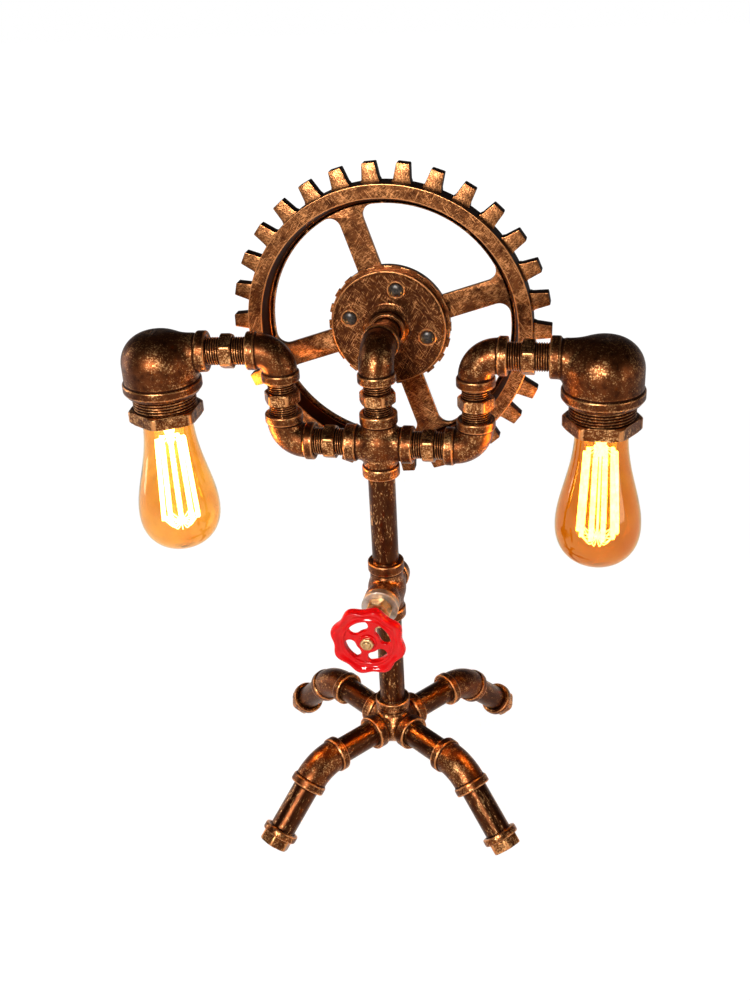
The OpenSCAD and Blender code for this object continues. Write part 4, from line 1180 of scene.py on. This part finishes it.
class LAMP_OT_flange(LampOperator):
    """Make the floor flange with its boss, ringed screws and the nuts behind the gear"""
    bl_idname = "lamp.flange"
    bl_label = "Flange and screws"

    screws: bpy.props.IntProperty(name="Screws", description="Number of flange screws", default=4, min=3)
    circle_r: size("Screw circle", "Radius of the screw circle", 31.2)
    head_d: size("Screw head", "Head diameter of the screws", 10.5)
    first: angle("First screw", "Direction of the first screw from level", -13)

    def execute(self, context):
        back, front, boss, rim = FLANGE_BACK, FLANGE_FRONT, 13.8, 45
        place, socket, bronzed = gear_place(), socket_radius(), bronze("flange_bronze")
        spin, circle, head = math.degrees(self.first), self.circle_r / MM, self.head_d / 2 / MM
        plate = turned("flange_plate", [
            (socket, back), (rim, back), (rim, front), (rim - 1.6, front), (rim - 2.4, front - 0.35),
            (boss + 6.2, front - 0.35), (boss + 5.4, front), (boss + 2.4, front + 0.2), (boss + 0.6, front + 1.4),
            (boss, front + 3.2), (boss, front + 5.3), (boss + 0.5, front + 5.8), (boss + 0.5, front + 7.6),
            (boss - 0.6, front + 8.5), (socket + 1, front + 8.5), (socket, front + 7.4),
        ], bronzed, place, radius=0.45, segments=144)
        at = shift(x=circle)
        ring = turned("screw_ring", [
            (head + 0.4, front - 1.0), (head + 1.9, front - 1.0), (head + 1.9, front + 0.1), (head + 1.4, front + 0.55),
            (head + 0.9, front + 0.55), (head + 0.4, front + 0.1),
        ], bronzed, at, radius=0.2, segments=40, worn=1.3)
        rings = repeat_round(ring, self.screws, spin, place)
        settle(join_pieces("floor_flange_casting", [plate, rings]), "stand", "gear_bronze", "floor_flange")
        shank, shank_end, seat, rise = 2.5, -71.3, front - 0.8, np.radians(range(15, 90, 15))
        dome = [(head * math.cos(a), seat + 3.0 * (0.35 + 0.65 * math.sin(a))) for a in rise]
        screw = turned("flange_screws_domed", [
            (0, shank_end), (shank, shank_end), (shank, seat), (head, seat), (head, seat + 1.05), *dome,
            (2.2, seat + 2.95), (1.8, seat + 2.1), (0, seat + 2.1),
        ], black_finish("black_parts"), at, radius=0.15, segments=36)
        settle(repeat_round(screw, self.screws, spin, place), "stand", "black_parts", "flange_screws")
        nut, top, bottom, bevel = HexagonRings(8.0, 0.0, 0, 4), GEAR_BACK, GEAR_BACK - 4.0, 0.5
        nut.add_all((4.0, bottom), (nut.six, bottom + bevel), (nut.six, top - bevel), (4.0, top), (2.56, top),
                    (2.56, bottom))
        nuts = repeat_round(nut.piece("flange_nuts_hexagon", zinc(), at, 30), self.screws, spin, place)
        settle(nuts, "stand", "zinc", "flange_nuts")
        return {"FINISHED"}


class LAMP_OT_heads(LampOperator):
    """Make the reducing elbows and the threaded hexagon bushings"""
    bl_idname = "lamp.heads"
    bl_label = "Lamp heads"

    bush_af: size("Bushing hexagon", "Width across flats of the bushing's hexagon", 51.3)
    bush_d: size("Bushing thread", "Diameter of the bushing's thread", 49.2)
    bush_pitch: size("Bushing pitch", "Pitch of the bushing's thread", 2.3)

    def execute(self, context):
        step = 0.85
        surface = cast_surface(head_distance, (-40, -32, -34), (32, 32, 17), step)
        for side, word in SIDES.items():
            settle_casting(f"reducing_elbow_{word}", f"{word}_head", surface, head_place(side))
            self.make_bushing(word, head_place(side), 0 if side > 0 else 24)
        return {"FINISHED"}

    def make_bushing(self, word, place, spin):
        """Hexagon bushing, its thread going up into the reducing elbow."""
        r, pitch, depth = self.bush_d / 2 / MM, self.bush_pitch / MM, mm("thread_depth") + 0.25
        bottom, top, end, inner = -53.7, -44.0, -19.5, 19.88
        rings = HexagonRings(self.bush_af / MM, 0.35, spin, 14)
        worn = rings.corner_wear(0.9, 0.1)
        rings.add(22.2, bottom)
        rings.add_bevel(bottom, 1, BUSHING_BEVEL, worn, 0.8)
        rings.add_bevel(top, -1, BUSHING_BEVEL, worn, 0.8)
        rings.add(r - depth, top, -1.0)
        rings.add_thread(np.arange(top + 0.2, -30.6, pitch / 9), r, depth, pitch, 0.5, 1.3)
        for radius, z in ((r - 0.6, end), (inner, end), (inner, -47), (22.0, -47), (22.2, bottom + 0.8)):
            rings.add(radius, z, -0.6)
        settle(rings.piece(f"hex_bushing_{word}_turned", bronze("fitting_bronze"), place), f"{word}_head",
               "fitting_bronze", f"hex_bushing_{word}")


class LAMP_OT_bulbs(LampOperator):
    """Make the bulbs: blown amber glass, rolled screw cap, glass mount and squirrel-cage filament"""
    bl_idname = "lamp.bulbs"
    bl_label = "Bulbs"

    bulb_d: size("Bulb diameter", "Largest diameter of the glass", 65.0)
    strands: bpy.props.IntProperty(name="Strands", description="Number of upright filament strands", default=10, min=4)
    lamp_power: bpy.props.FloatProperty(name="Lamp power", description="Power of the light inside each bulb",
                                        default=2.2, min=0.0, unit="POWER")

    def execute(self, context):
        for side, word in SIDES.items():
            place = head_place(side)
            self.make_glass(word, place)
            self.make_cap(word, place)
            self.make_filament(word, place)
            self.make_lamp(word, place)
        return {"FINISHED"}

    def glass_radius(self, depth):
        """Outer radius of the glass at a depth below the arm level."""
        half, cap_r, neck_r = self.bulb_d / 2 / MM, 13.2, 19.5
        widest = GLASS_TIP - half
        if depth < GLASS_NECK:
            opened = math.sin(math.pi / 2 * (depth - GLASS_SEAM) / (GLASS_NECK - GLASS_SEAM))
            return cap_r + (neck_r - cap_r) * opened
        if depth < widest:
            s = ((depth - GLASS_NECK) / (widest - GLASS_NECK)) ** 1.2
            return neck_r + (half - neck_r) * s * s * (3 - 2 * s)
        return half * max(0.0, 1 - ((depth - widest) / (GLASS_TIP - widest)) ** 2.3) ** (1 / 2.3)

    def make_glass(self, word, place):
        """Thin-walled glass, browner on the right as in the photograph."""
        half, wall, segments = self.bulb_d / 2 / MM, 0.9, 96
        widest = GLASS_TIP - half
        depths = ([GLASS_SEAM + (GLASS_NECK - GLASS_SEAM) * i / 8 for i in range(8)]
                  + [GLASS_NECK + (widest - GLASS_NECK) * i / 40 for i in range(40)]
                  + [widest + half * math.sin(math.pi / 2 * i / 30) for i in range(30)])
        outer = [(self.glass_radius(d), -d) for d in depths]
        inner = [(max(0.0, r - wall), max(z, -GLASS_TIP + wall)) for r, z in outer]
        outline = [(0, -GLASS_TIP + wall), *[p for p in inner[::-1] if p[0] > 0.3], *outer, (0, -GLASS_TIP)]
        points = np.array(outline)[::-1]
        verts = ring_points(points[:, :1], points[:, 1:], even_turns(segments))
        # The right bulb's glass is the same amber made browner: painted shade.
        amber = glass_finish("amber_glass_" + word, 1.0 if word == "left" else 1.9)
        piece = make_piece(f"bulb_glass_{word}_blown", verts, ring_faces(len(points), segments), amber, place, sharp=0)
        piece.visible_shadow = False
        settle(piece, f"{word}_bulb", "amber_glass", f"bulb_glass_{word}")

    def make_cap(self, word, place):
        """Screw cap with a rolled thread and a raised contact."""
        r, pitch, depth, bottom, rings = 13.2, 3.6, 1.1, -48.2, Rings(even_turns(72))
        rings.add(r - 0.4, bottom)
        for z in np.arange(-47.8, -27.2, pitch / 10):
            rings.add(r - depth * (0.5 + 0.5 * np.cos(2 * math.pi * z / pitch - rings.turns)), z)
        rings.add_all((r - 1.6, -27), (6, -24.4), (4.5, -24), (3.4, -23), (0, -23), (0, bottom))
        piece = rings.piece(f"bulb_cap_{word}_rolled", brass(), place, sharp=38.0)
        settle(piece, f"{word}_bulb", "brass", f"bulb_cap_{word}")

    def make_filament(self, word, place):
        """Glass mount, two stars of supports and upright coiled strands; the mount, rod and supports glow with painted
        light.
        """
        seam, mount_end, cage_end, top_r, end_r = 48.3, 74.0, 141.0, 11.0, 14.5
        glow = glow_finish("filament", paint("glow"), 120.0)
        # The mount, the rod and the support wires glow with painted light that stands in for the filament's glow around
        # them.
        mount_painted_glow = glow_finish("filament_mount", paint("glow"), 90.0)
        mount = turned(f"mount_{word}", [
            (10.2, -seam), (9.6, -seam - 2), (6.0, -seam - 9), (3.4, -seam - 20), (3.0, -mount_end),
            (2.4, -mount_end - 2), (0, -mount_end - 3), (0, -seam),
        ], mount_painted_glow, place, radius=0.4, segments=40, sharp=0)
        rod = turned(f"rod_{word}", [
            (0.9, -mount_end), (0.9, -cage_end), (2.0, -cage_end - 1), (2.6, -cage_end - 3), (2.2, -cage_end - 5.4),
            (0, -cage_end - 6), (0, -mount_end),
        ], mount_painted_glow, place, radius=0.3, segments=20, sharp=0)
        cage = (top_r, end_r, mount_end - 1, cage_end)
        strands = repeat_round(self.make_strand(f"strand_{word}", *cage, glow), self.strands, 0, place)
        hooks = repeat_round(self.make_hook(f"hook_{word}", *cage, mount_painted_glow), self.strands, 0, place)
        whole = join_pieces(f"bulb_filament_{word}_cage", [strands, hooks, mount, rod])
        whole.visible_diffuse = whole.visible_glossy = False
        settle(whole, f"{word}_bulb", "filament", f"bulb_filament_{word}")

    def make_strand(self, name, top_r, end_r, top, end, material):
        """One upright strand, drawn in Geometry Nodes as a wavy wire along a line."""
        mesh = bpy.data.meshes.new(name)
        mesh.materials.append(material)
        piece = add_object(name, mesh)

        def build(tree, given):
            line = node_in(tree, "GeometryNodeCurvePrimitiveLine", {"Start": given["Start"], "End": given["End"]})
            fine = node_in(tree, "GeometryNodeResampleCurve", {"Curve": line.outputs[0], "Count": 90})
            along = node_in(tree, "GeometryNodeSplineParameter").outputs["Factor"]
            turns = node_in(tree, "ShaderNodeMath", {0: along, 1: 220.0}, operation="MULTIPLY").outputs[0]
            swing = node_in(tree, "ShaderNodeMath", {0: turns}, operation="SINE").outputs[0]
            wave = node_in(tree, "ShaderNodeMath", {0: swing, 1: given["Coil"]}, operation="MULTIPLY").outputs[0]
            offset = node_in(tree, "ShaderNodeCombineXYZ", {"Y": wave}).outputs[0]
            moved = node_in(tree, "GeometryNodeSetPosition", {"Geometry": fine.outputs[0], "Offset": offset})
            ring = node_in(tree, "GeometryNodeCurvePrimitiveCircle", {"Resolution": 6, "Radius": given["Wire"]})
            swept = {"Curve": moved.outputs[0], "Profile Curve": ring.outputs[0], "Fill Caps": True}
            return node_in(tree, "GeometryNodeCurveToMesh", swept).outputs[0]

        tree = recipe(name, [("Start", "NodeSocketVector"), ("End", "NodeSocketVector"), ("Wire", "NodeSocketFloat"),
                             ("Coil", "NodeSocketFloat")], material, build)
        follow_recipe(piece, tree, {"Start": (top_r * MM, 0, -top * MM), "End": (end_r * MM, 0, -end * MM),
                                    "Wire": 1.8 * MM, "Coil": 0.5 * MM})
        return piece

    def make_hook(self, name, top_r, end_r, top, end, material):
        """Support wires of one strand, from the mount and from the button below."""
        runs = [((2.0, -top + 4), (top_r * 0.6, -top + 1.4), (top_r + 0.8, -top - 0.2)),
                ((1.6, -end - 3.6), (end_r * 0.55, -end - 3.0), (end_r + 0.9, -end + 0.4)),
                ((1.0, -end - 5.0), (end_r * 0.35, -end - 11.0), (end_r * 0.75, -end - 4.5), (end_r - 0.4, -end + 0.2))]
        parts = []
        for run in runs:
            wire = bpy.data.curves.new(name, "CURVE")
            wire.dimensions, wire.use_fill_caps = "3D", True
            wire.bevel_depth, wire.bevel_resolution = 0.3 * MM, 1
            line = wire.splines.new("NURBS")
            line.points.add(len(run) - 1)
            line.order_u, line.resolution_u, line.use_endpoint_u = 3, 5, True
            for point, (x, z) in zip(line.points, run):
                point.co = (x * MM, 0, z * MM, 1)
            parts.append(make_piece(name, *drawn_parts(wire), material))
        return join_pieces(name, parts)

    def make_lamp(self, word, place):
        """Small warm light in the middle of the glass, not seen through it."""
        data = bpy.data.lights.new(f"Bulb_light_{word}", "POINT")
        data.energy, data.color, data.shadow_soft_size = self.lamp_power, (1.0, 0.45, 0.12), 0.012
        light = add_object(f"Bulb_light_{word}", data)
        light.location = (place @ Vector((0, 0, -115))) * MM
        light.visible_transmission = False
        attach(light, f"{word}_bulb")


class LAMP_OT_valve(LampOperator):
    """Make the valve: bonnet disc, brass hexagons, stem and the lobed red handwheel"""
    bl_idname = "lamp.valve"
    bl_label = "Valve and handwheel"

    wheel_r: size("Wheel radius", "Radius of the handwheel over its lobes", 29.5)
    lobes: bpy.props.IntProperty(name="Lobes", description="Number of lobes", default=8, min=3)
    lobe_turn: angle("Lobe turn", "Direction of the first lobe from level", 30)

    def execute(self, context):
        place, stem, outlet, disc, face, shaft, tip = valve_place(), 3.62, mm("pipe_d") / 2 - 0.5, 14.8, 32.5, 3.5, 2.84
        bonnet = turned("bonnet_disc", [(stem, 18), (outlet, 18), (outlet, 26.2), (disc, 26.2), (disc, face),
                                        (stem, face)], zinc(), place, radius=0.7, segments=96)
        settle(bonnet, "stand", "zinc", "bonnet")
        self.make_hexagon("valve_hexagon", 19.0, face, 42.6, stem, 8, place, "stand")
        self.make_hexagon("gland_nut", 14.0, 42.6, 50.0, stem, 8, place, "stand")
        self.make_hexagon("wheel_nut", 9.6, 80.7, 83.7, 2.9, 0, place, "wheel")
        stem_bar = turned("valve_stem_bar", [(0, 17.6), (shaft, 17.6), (shaft, 75.5), (tip, 75.5), (tip, 83.9),
                                             (2.2, 84.5), (0, 84.5)], brass(), place, radius=0.3, segments=40)
        settle(stem_bar, "wheel", "brass", "valve_stem")
        self.make_wheel(place)
        return {"FINISHED"}

    def make_hexagon(self, node, flats, z0, z1, bore, spin, place, body):
        """Brass hexagon between two heights, bored through."""
        rings = HexagonRings(flats, 0.15, spin, 8)
        rings.add_bevel(z0, 1, BRASS_BEVEL)
        rings.add_bevel(z1, -1, BRASS_BEVEL)
        rings.add_all((bore + 0.5, z1), (bore, z1 - 0.5), (bore, z0))
        settle(rings.piece(node + "_brass", brass(), place, 30), body, "brass", node)

    def make_wheel(self, place):
        """Lobed rim swept round, flat web with kidney windows, and hub."""
        mid, half, outer = 77.5, 4.2, self.wheel_r / MM
        inner, lobes, spin = 18.1, self.lobes, math.degrees(self.lobe_turn)
        red = paint_finish("red_paint")
        turns = even_turns(240)
        wave = 1.5 * np.cos(lobes * (turns - math.radians(spin)))
        face = [(0, 0.30), (0.01, 0.58), (0.06, 0.72), (0.13, 0.74), (0.21, 0.66), (0.28, 0.52), (0.36, 0.48),
                (0.46, 0.56), (0.56, 0.74), (0.66, 0.90), (0.76, 0.99), (0.84, 1.0), (0.91, 0.92), (0.96, 0.74),
                (0.99, 0.48), (1, 0.2)]
        section = face + [(u, -v) for u, v in face[::-1]]
        span = outer - 1.5 - inner
        rows = [ring_points(inner + span * u + wave * u ** 1.5, mid + half * v, turns) for u, v in section]
        rim = make_piece("wheel_rim", np.concatenate(rows), ring_faces(len(section), len(turns))[:, ::-1], red, place,
                         sharp=0)
        web = self.make_web(mid, inner, spin, red, place)
        hub = turned("wheel_hub", [(2.9, mid - 4), (6.4, mid - 4), (7.0, mid - 1), (7.0, mid + 2.4), (6.2, mid + 3.2),
                                   (2.9, mid + 3.2)], red, place, radius=0.9, segments=48)
        whole = join_pieces("handwheel_painted", [rim, web, hub])
        settle(whole, "wheel", "red_paint", "handwheel")

    def make_web(self, mid, inner, spin, material, place):
        """Plate with four kidney windows, cut from a flat curve."""
        centre, width, half = inner - 3.8, 4.4, 15.0
        x, y = centre * math.cos(math.radians(half)), centre * math.sin(math.radians(half))
        kidney = [*arc(centre + width, -half, half, 9), *arc(width, half, 180 + half, 10, (x, y))[1:-1],
                  *arc(centre - width, half, -half, 9), *arc(width, 180 - half, 360 - half, 10, (x, -y))[1:-1]]
        outlines = [arc(inner + 2, 0, 360, 121)[:-1], *(spun(kidney, spin + 90 * k) for k in range(4))]
        verts, faces = cut_plate("wheel_web", outlines, 4.0, 1.0, 3)
        return make_piece("wheel_web", verts + (0, 0, mid), faces, material, place, sharp=50)


class LAMP_OT_plain_finishes(LampOperator):
    """Give the frame's own nodes their finishes: leads, switch, contacts, lampholders, clamp ring and cord gland"""
    bl_idname = "lamp.plain_finishes"
    bl_label = "Finishes of the frame's nodes"

    def execute(self, context):
        black, sheath = black_finish("black_parts"), sheath_finish("lead_sheath")
        chosen = {"clamp_ring": bronze("clamp_bronze"), "rotary_switch": black, "cord_gland": black,
                  "column_leads": sheath}
        for word in SIDES.values():
            chosen.update({f"arm_lead_{word}": sheath, f"head_lead_{word}": sheath, f"lampholder_{word}": black,
                           f"holder_contacts_{word}": brass()})
        for node, material in chosen.items():
            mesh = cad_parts[node].data
            mesh.materials.clear()
            mesh.materials.append(material)
        return {"FINISHED"}


class LAMP_PT_panel(bpy.types.Panel):
    """Lists the lamp's steps in the order in which they are run"""
    bl_idname = "LAMP_PT_panel"
    bl_label = "Pipe table lamp"
    bl_space_type = "VIEW_3D"
    bl_region_type = "UI"
    bl_category = "Lamp"

    def draw(self, context):
        for step in STEPS:
            self.layout.operator(step.bl_idname)
        for group in (context.scene.lamp_sizes, context.scene.lamp_colours):
            box = self.layout.box()
            for name in group.__annotations__:
                box.prop(group, name)


STEPS = (LAMP_OT_stage, LAMP_OT_castings, LAMP_OT_pipes, LAMP_OT_nipples, LAMP_OT_feet, LAMP_OT_gear, LAMP_OT_flange,
         LAMP_OT_heads, LAMP_OT_bulbs, LAMP_OT_valve, LAMP_OT_plain_finishes)
CLASSES = (LampSizes, LampColours, *STEPS, LAMP_PT_panel)


def register():
    for cls in CLASSES:
        bpy.utils.register_class(cls)
    bpy.types.Scene.lamp_sizes = bpy.props.PointerProperty(type=LampSizes)
    bpy.types.Scene.lamp_colours = bpy.props.PointerProperty(type=LampColours)


def unregister():
    del bpy.types.Scene.lamp_colours
    del bpy.types.Scene.lamp_sizes
    for cls in reversed(CLASSES):
        bpy.utils.unregister_class(cls)


def main():
    """Registers the add-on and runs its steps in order."""
    register()
    for step in STEPS:
        group, name = step.bl_idname.split(".")
        getattr(getattr(bpy.ops, group), name)()


if __name__ == "__main__":
    main()
